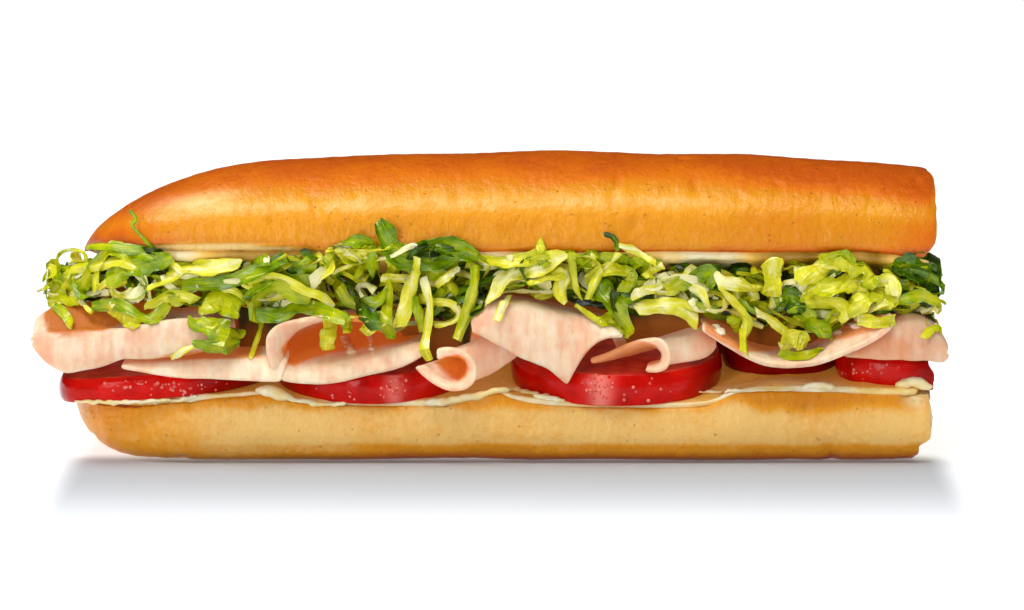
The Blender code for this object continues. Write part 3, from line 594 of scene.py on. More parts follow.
turkeyLook = {
    "smoothing": (0.2, 2),
    "meat": "#f0cbaa",
    "pink": "#e8af8c",
    "pale": "#f8e0c4",
    "hollow": "#dc8236",  # what light that has passed through the meat makes of the inside of a fold
    "glow": "#e0761c",
    "hollowGlow": 0.2,
    "meatGlow": (0.02, 0.15, 0.05, 0.24, 0.05, 0.18, 0.05, 0.0),  # light that has passed through each slice
    "insidePaintedShade": (0.42, 0, 0.02, 0, 0, 0.3, 0.1, 0),  # painted shade: how much darker the inside of each slice's fold is painted
    "paintedFoldLightAllOver": {8: 0.2},  # slices painted darker all over, with a share of the folds' painted light and shade
    # painted shade: how much darker the outside of each slice is painted
    "outsidePaintedShade": (0.03, 0, 0, 0, 0, 0, 0, 0.22),
    "leftEnd": (  # height, and how far the trough's end swells
        (17, 19.5, 22, 24.4, 26, 27, 28, 29.4, 30.4, 31, 33, 36),
        (0, 1.2, 1.7, 2.2, 2.4, 2.7, 3.1, 3.4, 2.2, 1.2, 1.7, 0.5),
    ),
    "leftEndFrom": ((1, "x", -98, -10),),
    "blunt": (-113.4, 1.2),  # where that end stops swelling, and how softly
    "onwards": ((5.0, "x", -71, 12),),  # slice 2 runs on under the wide loop
    "forwards": 1.0,
    "stripes": 0.5,
    "openings": (  # slices, how much the light in them shows, and their outlines in pixels
        (
            (1,),
            1.0,
            (
                (42, 318), (48, 298), (205, 294), (205, 311), (165, 313), (128, 323), (104, 331),
                (62, 336), (47, 332),
            ),
        ),
        ((8,), 0.5, ((846, 366), (858, 346), (884, 334), (904, 340), (914, 366))),
        (
            (3, 4, 5),
            1.0,
            (
                (281, 350), (285, 362), (293, 367), (306, 361), (330, 354), (352, 351), (380, 347),
                (408, 342), (430, 330), (410, 312), (345, 312), (318, 323), (298, 331), (286, 341),
            ),
        ),
        (
            (4,),
            1.0,
            ((433, 362), (445, 356), (458, 354), (466, 358), (469, 368), (466, 377), (458, 382), (446, 375)),
        ),
        (
            (5, 6, 7),
            0.8,
            (
                (583, 352), (603, 342), (625, 340), (642, 340), (656, 345), (662, 353), (660, 362),
                (650, 366), (640, 365), (628, 366), (606, 369), (584, 368),
            ),
        ),
        (
            (7,),
            0.85,
            (
                (704, 331), (722, 343), (742, 353), (768, 352), (800, 346), (850, 338), (888, 327),
                (880, 306), (704, 306),
            ),
        ),
        (
            (1, 2, 3),
            0.9,
            ((142, 361), (180, 352), (225, 347), (262, 342), (264, 358), (236, 359), (190, 360)),
        ),
    ),
    "hollowReach": 14.0,  # how near another surface must be to count
    "hollowShare": (0.6, 0.5, 0.45),  # how deep the painted tint of light and shade in the folds goes, from which share of surface, and over what
    "hollowRays": 18,
    "openingEdge": (1.0, 3.0),  # pixels outside an outline where the light starts, and over how many
    "openingDepth": (22, 12),  # behind this y it ends, and over how far
    "wavesAlong": (0.5, 0.2, 0.8),
    "waves": (0.35, (9.0, 13.0, 7.0)),
    "ripples": (0.12, (3.0, 9.0, 3.0)),
}


def turkeyMaterial():
    # Moist sliced turkey breast: fine grained, pale pink-beige, light passes a little way in
    material, tree, shader, hollow, lit, paintedShadeShare = startMaterial("slicedTurkeyBreast", "hollow", "lit", "paintedShadeShare")
    where = addNode(tree, "TexCoord").outputs["Object"]
    cloud = addNode(
        tree, "TexNoise", {"Scale": 75.0, "Detail": 4.0, "Roughness": 0.6}, {"Vector": where}
    )  # 13 mm
    fibre = addNode(
        tree, "Mapping", {"Scale": (520.0, 160.0, 300.0)}, {"Vector": where}
    )  # fibres of about 2 mm by 6 mm
    grain = addNode(tree, "TexNoise", {"Scale": 1.0, "Detail": 4.0, "Roughness": 0.55}, {"Vector": fibre})
    shifted = addNode(tree, "Math", {1: 0.5, 2: -0.25}, {0: grain}, operation="MULTIPLY_ADD")
    stripeStretch = addNode(
        tree, "Mapping", {"Scale": (430.0, 40.0, 70.0)}, {"Vector": where}
    )  # bands 2 mm apart where the slicer's teeth went
    stripes = addNode(tree, "TexNoise", {"Scale": 1.0, "Detail": 1.0}, {"Vector": stripeStretch})
    striped = addNode(
        tree, "Math", {1: turkeyLook["stripes"]}, {0: stripes, 2: shifted}, operation="MULTIPLY_ADD"
    )
    centred = addNode(tree, "Math", {1: turkeyLook["stripes"] / 2}, {0: striped}, operation="SUBTRACT")
    streaked = addNode(tree, "Math", None, {0: cloud, 1: centred}, operation="ADD")
    colour = addNode(
        tree, "ValToRGB", None, {"Fac": streaked},
        ((0.3, turkeyLook["pink"]), (0.5, turkeyLook["meat"]), (0.72, turkeyLook["pale"]))
    )
    # painted light and shade inside the folds: a darker orange base colour, and a glow from the emission
    deepened = addNode(
        tree, "Mix", {7: linear(turkeyLook["hollow"])}, {"Factor": hollow, 6: colour}, data_type="RGBA"
    )
    glowColour = addNode(
        tree, "Mix", {6: linear(turkeyLook["meat"]), 7: linear(turkeyLook["glow"])}, {"Factor": hollow},
        data_type="RGBA"
    )
    rough = addNode(tree, "MapRange", {"To Min": 0.3, "To Max": 0.5}, {"Value": grain})
    bump = addNode(tree, "Bump", {"Strength": 0.7, "Distance": 0.0007}, {"Height": grain})
    setNode(
        tree, shader,
        {
            "Subsurface Weight": 0.6, "Subsurface Radius": (1.0, 0.4, 0.16), "Subsurface Scale": 0.0035,
            "Specular IOR Level": 0.35
        },
        {
            "Base Color": addShade(tree, deepened.outputs[2], paintedShadeShare), "Emission Strength": lit,
            "Emission Color": glowColour.outputs[2], "Roughness": rough, "Normal": bump
        }
    )
    return material


def buildTurkey(number, material):
    name = f"turkey_slice_{number}"
    piece = copyNode(name, f"turkeySlice{number}", turkeyLook)
    points, normals = readPoints(piece.data)
    moved = points.copy()
    for key in ("waves", "ripples"):
        depth, size = turkeyLook[key]
        waves = depth * noiseAt(points, size, number * 3.1)
        moved += waves[:, None] * np.array(turkeyLook["wavesAlong"])
    if number == 1:
        swell = np.interp(points[:, 2], *turkeyLook["leftEnd"])
        moved[:, 0] -= swell * bands(turkeyLook["leftEndFrom"], x=points[:, 0])
        limit, softness = turkeyLook["blunt"]
        beyond = np.maximum(0, limit - moved[:, 0])
        moved[:, 0] += beyond - softness * np.tanh(beyond / softness)
    if number == 2:
        reach = bands(turkeyLook["onwards"], x=points[:, 0])
        moved[:, 0] += reach
        moved[:, 1] -= turkeyLook["forwards"] * reach / reach.max() * smoothStep(-points[:, 1] / 20)
    writePoints(piece.data, moved)
    finishPiece(piece, material, "turkey", name)
    return piece


def hollowShare(points, normals, tree, reach, count):
    # How much of what each point looks at is nearby surface
    chance = random.Random(3)
    fan = [Vector([chance.gauss(0, 1) for _ in range(3)]).normalized() for _ in range(count)]
    found = []
    for point, normal in zip(points, normals):
        outward = Vector(normal)
        start = Vector(point) * mm + outward * 0.3 * mm
        hits = 0
        for way in fan:
            along = (way + outward * 1.05).normalized()
            hits += tree.ray_cast(start, along, reach * mm)[0] is not None
        found.append(hits / count)
    return np.array(found)


def insideShare(points, outline):
    # 1 inside an outline in pixels and 0 outside, for points of the front half
    px, py = toPixels(points)
    inside = np.zeros(len(points), bool)
    nearest = np.full(len(points), 1e9)
    for (ax, ay), (bx, by) in zip(outline, outline[1:] + outline[:1]):
        crosses = (ay > py) != (by > py)
        level = ax + (py - ay) / (by - ay + 1e-9) * (bx - ax)
        inside ^= crosses & (px < level)
        goX, goY = bx - ax, by - ay
        along = np.clip(((px - ax) * goX + (py - ay) * goY) / (goX**2 + goY**2), 0, 1)
        away = np.hypot(px - ax - along * goX, py - ay - along * goY)
        nearest = np.minimum(nearest, away)
    signed = np.where(inside, nearest, -nearest)
    outside, edge = turkeyLook["openingEdge"]
    back, fade = turkeyLook["openingDepth"]
    return smoothStep((signed + outside) / edge) * smoothStep((back - points[:, 1]) / fade)


def deepenTurkeys(pieces):
    # Paints light and shade into the folds, from how much nearby surface each point sees and from outlines
    # of the openings
    tree = treeOf(pieces)
    depth, start, span = turkeyLook["hollowShare"]
    for number, piece in enumerate(pieces, 1):
        points, normals = readPoints(piece.data)
        hollow = hollowShare(points, normals, tree, turkeyLook["hollowReach"], turkeyLook["hollowRays"])
        share = depth * smoothStep((hollow - start) / span)
        for owners, tint, outline in turkeyLook["openings"]:
            if number in owners:
                share = np.maximum(share, tint * insideShare(points, outline))
        share = np.maximum(share, turkeyLook["paintedFoldLightAllOver"].get(number, 0.0))
        writeShare(piece.data, "hollow", share)
        meatGlow = turkeyLook["meatGlow"][number - 1]
        writeShare(piece.data, "lit", meatGlow + (turkeyLook["hollowGlow"] - meatGlow) * share)
        # painted shade, stronger inside the folds
        inside, outside = turkeyLook["insidePaintedShade"][number - 1], turkeyLook["outsidePaintedShade"][number - 1]
        writeShare(piece.data, "paintedShadeShare", outside + (inside - outside) * share)


def treeOf(pieces):
    points, faces = [], []
    for piece in pieces:
        start = len(points)
        points += [vertex.co.copy() for vertex in piece.data.vertices]
        faces += [[start + i for i in face.vertices] for face in piece.data.polygons]
    return BVHTree.FromPolygons(points, faces)


turkeyFinish = turkeyMaterial()
turkeys = [buildTurkey(number, turkeyFinish) for number in range(1, 9)]
deepenTurkeys(turkeys)
print("turkey slices built")

# Mayonnaise

mayonnaiseLook = {
    "smoothing": (0.3, 2),
    "cream": "#f9efcb",
    "yolk": "#efd486",
    "soaked": "#e8bd58",  # where the spread is thin over the crumb
    "paintedUndersideShade": "#946a04",  # painted shade on the crumb under the upper roll's edge
    "under": (  # how thin it is along the upper roll's front edge, by pixel: 1 is soaked, and 2 is painted shade
        (165, 180, 200, 216, 240, 325, 345, 480, 640, 672, 690, 735, 760, 790, 850, 880, 896, 925),
        (0.6, 0.1, 0.8, 1.2, 1.7, 1.5, 0.8, 0.5, 0.9, 0.6, 0.0, 0.2, 1.5, 1.9, 1.6, 1.9, 1.0, 0.7),
    ),
    # painted glow: the emission stands in for light bounced into the shaded spread
    "glow": 0.16,
    "glowColour": "#e6a53e",
    "lumps": (0.3, (0.4, 6.0, 1.0), (0.25, 2.6, 5.0)),  # lift, then depth, size and place of two noises
    "bedding": 0.4,  # how far it sinks into its bread, so that no gap is left
    "frontEdge": (0.9, -36.5, 2.5),  # share soaked before this y, and over how far
    "thicker": (0.6, 48, 84, 8),  # less soaked between these x, at the front
    "dollopStep": 2.6,  # pixels
    "dollops": (  # radius in millimetres and a line in pixels
        (0.7, ((78, 401), (104, 402), (140, 402), (176, 400), (196, 398))),
        (1.9, ((266, 391), (274, 392), (281, 396))),
        (0.8, ((286, 398), (300, 401), (322, 404), (345, 405))),
        (1.1, ((430, 402), (444, 402), (462, 398), (482, 394))),
        (0.9, ((482, 394), (500, 390), (516, 389), (530, 393), (546, 397))),
        (0.7, ((546, 397), (562, 401))),
        (1.2, ((808, 386), (818, 385), (830, 387))),
        (0.5, ((700, 393), (730, 391), (760, 390), (784, 390), (806, 389))),
        (0.4, ((832, 389), (856, 389), (880, 389))),
        (1.5, ((903, 385), (912, 382), (921, 384), (926, 388))),
    ),
}


def mayonnaiseMaterial():
    # Egg mayonnaise spread with a knife: an opaque wet cream with soft lumps
    material, tree, shader, soaked = startMaterial("eggMayonnaise", "soaked")
    where = addNode(tree, "TexCoord").outputs["Object"]
    cloud = addNode(tree, "TexNoise", {"Scale": 140.0, "Detail": 3.0}, {"Vector": where})  # 7 mm
    colour = addNode(
        tree, "ValToRGB", None, {"Fac": cloud},
        ((0.35, mayonnaiseLook["yolk"]), (0.62, mayonnaiseLook["cream"]))
    )
    spread = addNode(
        tree, "Mix", {7: linear(mayonnaiseLook["soaked"])}, {"Factor": soaked, 6: colour}, data_type="RGBA"
    )
    paintedUndersideShadeShare = addNode(tree, "MapRange", {"From Min": 1.0, "From Max": 2.0}, {"Value": soaked})
    paintedUndersideShade = addNode(
        tree, "Mix", {7: linear(mayonnaiseLook["paintedUndersideShade"])}, {"Factor": paintedUndersideShadeShare, 6: spread.outputs[2]},
        data_type="RGBA"
    )
    # painted glow where the spread is soaked, taken away again where shade is painted
    glow = addNode(tree, "MapRange", {"To Max": mayonnaiseLook["glow"]}, {"Value": soaked})
    dulled = addNode(
        tree, "Math", {1: -mayonnaiseLook["glow"]}, {0: paintedUndersideShadeShare, 2: glow}, operation="MULTIPLY_ADD"
    )
    rough = addNode(tree, "MapRange", {"To Min": 0.2, "To Max": 0.42}, {"Value": cloud})
    lumps = addNode(tree, "TexNoise", {"Scale": 420.0, "Detail": 3.0}, {"Vector": where})  # 2.4 mm
    bump = addNode(tree, "Bump", {"Strength": 0.6, "Distance": 0.0008}, {"Height": lumps})
    setNode(
        tree, shader,
        {
            "Emission Color": linear(mayonnaiseLook["glowColour"]), "Subsurface Weight": 0.2,
            "Subsurface Radius": (1.0, 0.8, 0.4), "Subsurface Scale": 0.002
        },
        {"Base Color": paintedUndersideShade.outputs[2], "Emission Strength": dulled, "Roughness": rough, "Normal": bump}
    )
    return material


def buildMayonnaise(side, material):
    name = f"mayonnaise_{side}"
    piece = copyNode(name, f"mayonnaise{side.capitalize()}", mayonnaiseLook)
    points, normals = readPoints(piece.data)
    lift, *noises = mayonnaiseLook["lumps"]
    lumps = lift + sum(depth * noiseAt(points, size, place) for depth, size, place in noises)
    moved = points + normals * lumps[:, None]
    way = 1 if side == "bottom" else -1
    moved[:, 2] -= way * mayonnaiseLook["bedding"] * smoothStep((-way * normals[:, 2] - 0.2) / 0.5)
    writePoints(piece.data, moved)
    if side == "bottom":
        share, edgeY, edgeOver = mayonnaiseLook["frontEdge"]
        soaked = share * smoothStep((points[:, 1] - edgeY + 1.2 * noiseAt(points, 5.0, 4.0)) / edgeOver)
        less, left, right, over = mayonnaiseLook["thicker"]
        thicker = smoothStep((points[:, 0] - left) / over) * smoothStep((right - points[:, 0]) / over)
        soaked *= 1 - less * thicker * smoothStep((-20 - points[:, 1]) / 6)
    else:
        soaked = np.interp(toPixels(points)[0], *mayonnaiseLook["under"]) + 0.3 * noiseAt(points, 5.0, 6.0)
        soaked = np.maximum(soaked, 0)
    writeShare(piece.data, "soaked", soaked)
    finishPiece(piece, material, "mayonnaise", name)
    return piece


mayonnaiseFinish = mayonnaiseMaterial()
mayonnaises = [buildMayonnaise(side, mayonnaiseFinish) for side in ("bottom", "top")]
print("mayonnaise built")

# What the fillings and drops rest on

solidTree = treeOf([topRoll, bottomRoll, *tomatoes, *turkeys, *mayonnaises])
underTree = treeOf([bottomRoll, *tomatoes, *turkeys, mayonnaises[0]])
roofTree = treeOf([topRoll, mayonnaises[1]])
tomatoTree = treeOf(tomatoes)

scraps = (  # turkey crumbs that lie in the folds: radius in millimetres and a line in pixels
    (1.0, ((345, 337), (348, 344), (352, 351))),
    (0.7, ((371, 336), (371, 350))),
    (1.5, ((436, 303), (446, 297), (456, 303))),
    (1.1, ((440, 318), (450, 322))),
    (1.0, ((822, 331), (838, 333))),
    (1.1, ((846, 323), (858, 325))),
    (0.9, ((716, 327), (722, 333))),
)

blobLook = {
    "stray": 0.7,  # pixels up and down
    "reach": (-2.5, 0, 2.5),  # pixels up and down where the nearest thing is looked for
    "size": (0.75, 1.2),
    "length": (1.2, 1.7),
    "flat": (0.9, 0.75),
    "grid": 0.42,  # of the mesh that runs them together
    "smooth": (0.5, 3),
    "uneven": (0.18, 2.2),
}


def buildBlobs(name, lines, material, slot, share):
    # Blobs run together along lines, such as spread that has been squeezed out at the edge
    chance = random.Random(21)
    blobs = []
    for radius, marks in lines:
        line = np.array(marks, float)
        steps = np.concatenate([[0], np.cumsum(np.hypot(*np.diff(line, axis=0).T))])
        for reach in np.arange(0, steps[-1], mayonnaiseLook["dollopStep"]):
            px = float(np.interp(reach, steps, line[:, 0]))
            py = float(np.interp(reach, steps, line[:, 1])) + chance.gauss(0, blobLook["stray"])
            start, along = pixelRay(px, py)
            near = [solidTree.ray_cast(*pixelRay(px, py + step))[3] for step in blobLook["reach"]]
            near = [reach for reach in near if reach is not None]
            if not near:
                continue
            size = radius * chance.uniform(*blobLook["size"])
            bpy.ops.mesh.primitive_ico_sphere_add(
                subdivisions=2, radius=size * mm, location=start + along * min(near)
            )
            blob = bpy.context.object
            blob.scale = (chance.uniform(*blobLook["length"]), *blobLook["flat"])
            blobs.append(blob)
    bpy.ops.object.select_all(action="DESELECT")
    for blob in blobs:
        blob.select_set(True)
    bpy.context.view_layer.objects.active = blobs[0]
    bpy.ops.object.join()
    piece = bpy.context.object
    piece.name = name
    bpy.ops.object.transform_apply(location=True, rotation=True, scale=True)
    applyModifier(piece, "REMESH", mode="VOXEL", voxel_size=blobLook["grid"] * mm)
    factor, rounds = blobLook["smooth"]
    applyModifier(piece, "SMOOTH", factor=factor, iterations=rounds)
    points, normals = readPoints(piece.data)
    depth, size = blobLook["uneven"]
    points = points + normals * (depth * noiseAt(points, size, 6.0))[:, None]
    writePoints(piece.data, points)
    writeShare(piece.data, share, np.zeros(len(points)))
    finishPiece(piece, material, slot)


buildBlobs("mayonnaiseDollops", mayonnaiseLook["dollops"], mayonnaiseFinish, "mayonnaise", "soaked")
buildBlobs("turkeyScraps", scraps, turkeyFinish, "turkey", "hollow")
print("dollops and scraps built")

# Droplets on the tomato rims


def buildDroplets(material):
    chance = random.Random(11)
    small, large = tomatoLook["dropletSize"]
    bpy.ops.mesh.primitive_ico_sphere_add(subdivisions=2, radius=mm)
    seed = bpy.context.object
    editMode(seed, (bpy.ops.transform.resize, {"value": (1, 1, tomatoLook["dropletFlat"])}))
    shape, _ = readPoints(seed.data)
    faces = [tuple(face.vertices) for face in seed.data.polygons]
    bpy.data.objects.remove(seed)
    allPoints, allFaces = [], []
    for px, py, wide, high, count in tomatoLook["droplets"]:
        for _ in range(count):
            start, along = pixelRay(px + chance.gauss(0, wide / 2), py + chance.gauss(0, high / 2))
            found, normal, _, _ = tomatoTree.ray_cast(start, along)
            blocked = solidTree.ray_cast(start, along)[0]
            size = chance.uniform(small, large)
            if found is None or (blocked - found).length > tomatoLook["dropletHidden"] * mm:
                continue
            turn = normal.to_track_quat("Z", "Y").to_matrix()
            middle = found / mm + normal * size * tomatoLook["dropletRaised"]
            base = len(allPoints)
            allPoints += [tuple(middle + turn @ Vector(p) * size) for p in shape]
            allFaces += [tuple(base + i for i in face) for face in faces]
    piece = addMesh("tomatoDroplets", allPoints, allFaces)
    finishPiece(piece, material, "tomato")


def addMesh(name, points, faces, shares=None):
    mesh = bpy.data.meshes.new(name)
    mesh.from_pydata([tuple(c * mm for c in p) for p in points], [], faces)
    mesh.update()
    for key, values in (shares or {}).items():
        writeShare(mesh, key, values)
    piece = bpy.data.objects.new(name, mesh)
    bpy.context.scene.collection.objects.link(piece)
    return piece


def dropletMaterial():
    # Tomato juice standing in beads: clear red with a sharp highlight
    material, tree, shader = startMaterial("tomatoJuice")
    where = addNode(tree, "TexCoord").outputs["Object"]
    tint = addNode(tree, "TexNoise", {"Scale": 900.0}, {"Vector": where})
    colour = addNode(
        tree, "ValToRGB", None, {"Fac": tint},
        ((0.35, tomatoLook["juice"]), (0.65, tomatoLook["juicePale"]))
    )
    setNode(
        tree, shader, {"Roughness": 0.06, "IOR": 1.33, "Coat Weight": 1.0, "Coat Roughness": 0.03},
        {"Base Color": colour}
    )
    return material


buildDroplets(dropletMaterial())
print("droplets built")

# Lettuce

lettuceLook = {
    "rib": "#f8f3b6",
    "heart": "#e6df36",
    "light": "#c2c40c",
    "leaf": "#8ea806",
    "dark": "#4c7404",
    "deep": "#263402",
    "paintedShade": "#39310a",  # painted shade in the gaps between shreds
    "juice": "#a86424",  # painted shade in brown-orange for the gaps above the turkey
    # painted glow of the core, in its own colours
    "paintedGapGlow": 0.12,
    "thick": 0.26,
    "shownSlimmer": 0.78,
    "face": 33.5,  # half the heap's width
    "openFace": -14,  # the y of shreds that have nothing behind them
    "leftEnd": -109.5,
    "rightEnd": 97.0,
    "keepWithin": (-112.0, 104.0),  # beyond these the ends of shreds are drawn in
    "drawnIn": 0.7,
    "skew": 0.35,  # how slanting the ends are cut
    "crinkleSteps": (0.75, 0.5),  # how fast the crumples change along and across
    "thinEdge": 0.6,
    "clearance": (0.75, 0.3),  # how far the outer and inner face stay off the solids
    "plunge": 5.0,  # how far behind its middle depth a shred may sink
    "shownSink": 1.4,
    "surge": (1.6, 2.2),  # how far shown and scattered shreds rise and fall along their length
    "settle": 0.6,  # shown shreds turn less
    "length": (7, 20),
    "heading": 0.55,  # how far from level they lie, and how far they bend, in radians
    "bend": 1.3,
    "upright": 0.25,  # share that lies upright
    "inset": 7.5,  # how deep in the heap they lie at most
    "scatterTone": (0.31, 0.34, 0.05),  # middle, spread, and how much darker a shred is painted for each mm of inset, as painted shade
    "round": 30.0,  # length over which the heap narrows to its round end
}


def lettuceMaterial():
    # Fresh shredded lettuce: crisp, wet and thin enough to glow, from cream ribs to green blades
    material, tree, shader, tone, lengthwise, crosswise = startMaterial(
        "shreddedLettuce", "tone", "lengthwise", "crosswise"
    )
    where = addNode(tree, "TexCoord").outputs["Object"]
    patch = addNode(tree, "TexNoise", {"Scale": 260.0, "Detail": 3.0}, {"Vector": where})  # 4 mm
    onBlade = addNode(tree, "CombineXYZ", None, {"X": lengthwise, "Y": crosswise})
    grainStretch = addNode(
        tree, "Mapping", {"Scale": (0.22, 1.5, 1.0)}, {"Vector": onBlade}
    )  # fibres 0.7 mm apart that run along the blade for 4 mm
    vein = addNode(
        tree, "TexNoise", {"Scale": 1.0, "Detail": 2.0, "Roughness": 0.5, "Distortion": 0.6},
        {"Vector": grainStretch}
    )
    veinMask = addNode(
        tree, "MapRange", {"From Min": 0.3, "From Max": 0.7, "To Min": -0.085, "To Max": 0.085},
        {"Value": vein}
    )
    patchShift = addNode(tree, "Math", {1: 0.5, 2: -0.25}, {0: patch}, operation="MULTIPLY_ADD")
    shiftA = addNode(tree, "Math", None, {0: tone, 1: patchShift}, operation="ADD")
    shiftB = addNode(tree, "Math", None, {0: shiftA, 1: veinMask}, operation="ADD")
    colour = addNode(
        tree, "ValToRGB", None, {"Fac": shiftB},
        (
            (0.0, lettuceLook["rib"]), (0.18, lettuceLook["heart"]), (0.4, lettuceLook["light"]),
            (0.62, lettuceLook["leaf"]), (0.84, lettuceLook["dark"]), (1.0, lettuceLook["deep"])
        )
    )
    rough = addNode(tree, "MapRange", {"To Min": 0.08, "To Max": 0.28}, {"Value": patch})
    relief = addNode(tree, "Math", {1: 2.5}, {0: veinMask, 2: patch}, operation="MULTIPLY_ADD")
    bump = addNode(tree, "Bump", {"Strength": 0.5, "Distance": 0.0005}, {"Height": relief})
    setNode(
        tree, shader,
        {
            "Subsurface Weight": 0.3, "Subsurface Radius": (0.8, 1.0, 0.25), "Subsurface Scale": 0.0005,
            "Specular IOR Level": 0.5
        },
        {"Base Color": colour, "Roughness": rough, "Normal": bump}
    )
    return material


def coreMaterial():
    # The depths of the heap: wet leaves in painted shade, with painted brown-orange shade and a painted glow
    # above the turkey
    material, tree, shader, tone = startMaterial("shadedLettuce", "tone")
    colour = addNode(
        tree, "ValToRGB", None, {"Fac": tone},
        ((0.2, lettuceLook["juice"]), (0.5, lettuceLook["paintedShade"]), (1.0, lettuceLook["deep"]))
    )
    setNode(
        tree, shader,
        {"Emission Strength": lettuceLook["paintedGapGlow"], "Roughness": 0.5, "Specular IOR Level": 0.3},
        {"Base Color": colour, "Emission Color": colour}
    )
    return material


coreLook = {
    "left": -102.0,
    "right": 96.0,
    "front": -24.0,
    "back": 25.0,
    "columns": 80,
    "rows": 24,
    "narrowFrom": (-78, 25, 0.35),  # narrower at the round end: from which x, over how far, by what share
    "hangsTo": 33.0,  # nothing hangs lower than this at the round end
    "hangsFor": 20,
    "softEdge": 8,
    "bumps": ((1.4, 5.0, 3.0), (0.8, 2.4, 8.0)),  # depth, size and place of two noises
    "tone": (0.12, 0.8, 0.35, 6.0),  # below, how much more above, and the noise's depth and size
}


def buildCore(material):
    # The heap's hidden middle, from what lies below up to the spread above
    bpy.ops.mesh.primitive_grid_add(
        x_subdivisions=coreLook["columns"], y_subdivisions=coreLook["rows"], size=2 * mm
    )
    piece = bpy.context.object
    piece.name = "lettuceCore"
    editMode(piece, (bpy.ops.mesh.extrude_region_move, {"TRANSFORM_OT_translate": {"value": (0, 0, mm)}}))
    points, _ = readPoints(piece.data)
    upper = points[:, 2] > 0.5
    x = coreLook["left"] + (points[:, 0] + 1) / 2 * (coreLook["right"] - coreLook["left"])
    y = coreLook["front"] + (points[:, 1] + 1) / 2 * (coreLook["back"] - coreLook["front"])
    narrowAt, narrowOver, narrower = coreLook["narrowFrom"]
    y = y * (1 - narrower * np.clip((narrowAt - x) / narrowOver, 0, 1) ** 2)
    hangsUpTo = coreLook["left"] + coreLook["hangsFor"]
    soft = coreLook["softEdge"]
    placed = []
    for px, py, isUpper in zip(x, y, upper):
        below = underTree.ray_cast(Vector((px, py, 50)) * mm, Vector((0, 0, -1)))[0]
        above = roofTree.ray_cast(Vector((px, py, 42)) * mm, Vector((0, 0, 1)))[0]
        low = below.z / mm + 0.4 if below else 31.0
        low = max(low, coreLook["hangsTo"]) if px < hangsUpTo else low
        high = above.z / mm - 0.5 if above else 50.0
        low = min(low, high - 0.6)
        edge = min(px - coreLook["left"], coreLook["right"] - px, soft) / soft
        middle = (low + high) / 2
        target = high if isUpper else low
        placed.append((px, py, middle + (target - middle) * (0.35 + 0.65 * edge)))
    writePoints(piece.data, placed)
    editMode(piece, (bpy.ops.mesh.normals_make_consistent, {"inside": False}))
    placed, normals = readPoints(piece.data)
    sideways = 1 - abs(normals[:, 2])
    bumps = sum(depth * noiseAt(placed, size, place) for depth, size, place in coreLook["bumps"])
    placed += normals * (bumps * sideways)[:, None]
    writePoints(piece.data, placed)
    lowTone, toneRise, toneDepth, toneSize = coreLook["tone"]
    writeShare(piece.data, "tone", lowTone + toneRise * upper + toneDepth * noiseAt(placed, toneSize, 1.5))
    finishPiece(piece, material, "lettuce", "lettuce")
    return piece


lettuceFinish = lettuceMaterial()
core = buildCore(coreMaterial())
pileTree = treeOf([topRoll, bottomRoll, *tomatoes, *turkeys, *mayonnaises, core])


def heapHull():
    # An upright wall round the heap, which the outer shreds keep to where nothing solid is nearer
    outline = []
    for x in np.linspace(lettuceLook["leftEnd"], lettuceLook["rightEnd"], 60):
        share = min(1.0, (x - lettuceLook["leftEnd"]) / lettuceLook["round"])
        outline.append((x, lettuceLook["face"] * math.sqrt(1 - (1 - share) ** 2.3)))
    ring = [(x, -y) for x, y in outline] + [(x, y) for x, y in reversed(outline)]
    points = [Vector((x, y, z)) * mm for z in (5, 75) for x, y in ring]
    count = len(ring)
    faces = [[i, (i + 1) % count, count + (i + 1) % count, count + i] for i in range(count)]
    return BVHTree.FromPolygons(points, faces)


hullTree = heapHull()
print("lettuce core built")

# Sides from which shreds are laid: a ray for two numbers, pixels at the front and millimetres elsewhere
sides = {
    "front": pixelRay,
    "back": lambda a, b: (Vector((a, 90, b)) * mm, Vector((0, -1, 0))),
    "left": lambda a, b: (Vector((-160, a, b)) * mm, Vector((1, 0, 0))),
    "right": lambda a, b: (Vector((160, a, b)) * mm, Vector((-1, 0, 0))),
}


def splineThrough(marks, count):
    # Points evenly spread on a smooth line through the marks
    marks = np.array(marks, float)
    ends = np.vstack([2 * marks[0] - marks[1], marks, 2 * marks[-1] - marks[-2]])
    found = []
    for step in np.linspace(0, len(marks) - 1 - 1e-9, count * 4):
        i = int(step)
        t = step - i
        a, b, c, d = ends[i], ends[i + 1], ends[i + 2], ends[i + 3]
        bent = 2 * b + (c - a) * t + (2 * a - 5 * b + 4 * c - d) * t * t + (3 * b - a - 3 * c + d) * t**3
        found.append(0.5 * bent)
    found = np.array(found)
    lengths = np.concatenate([[0], np.cumsum(np.linalg.norm(np.diff(found, axis=0), axis=1))])
    wanted = np.linspace(0, lengths[-1], count)
    return np.column_stack([np.interp(wanted, lengths, found[:, k]) for k in range(found.shape[1])])


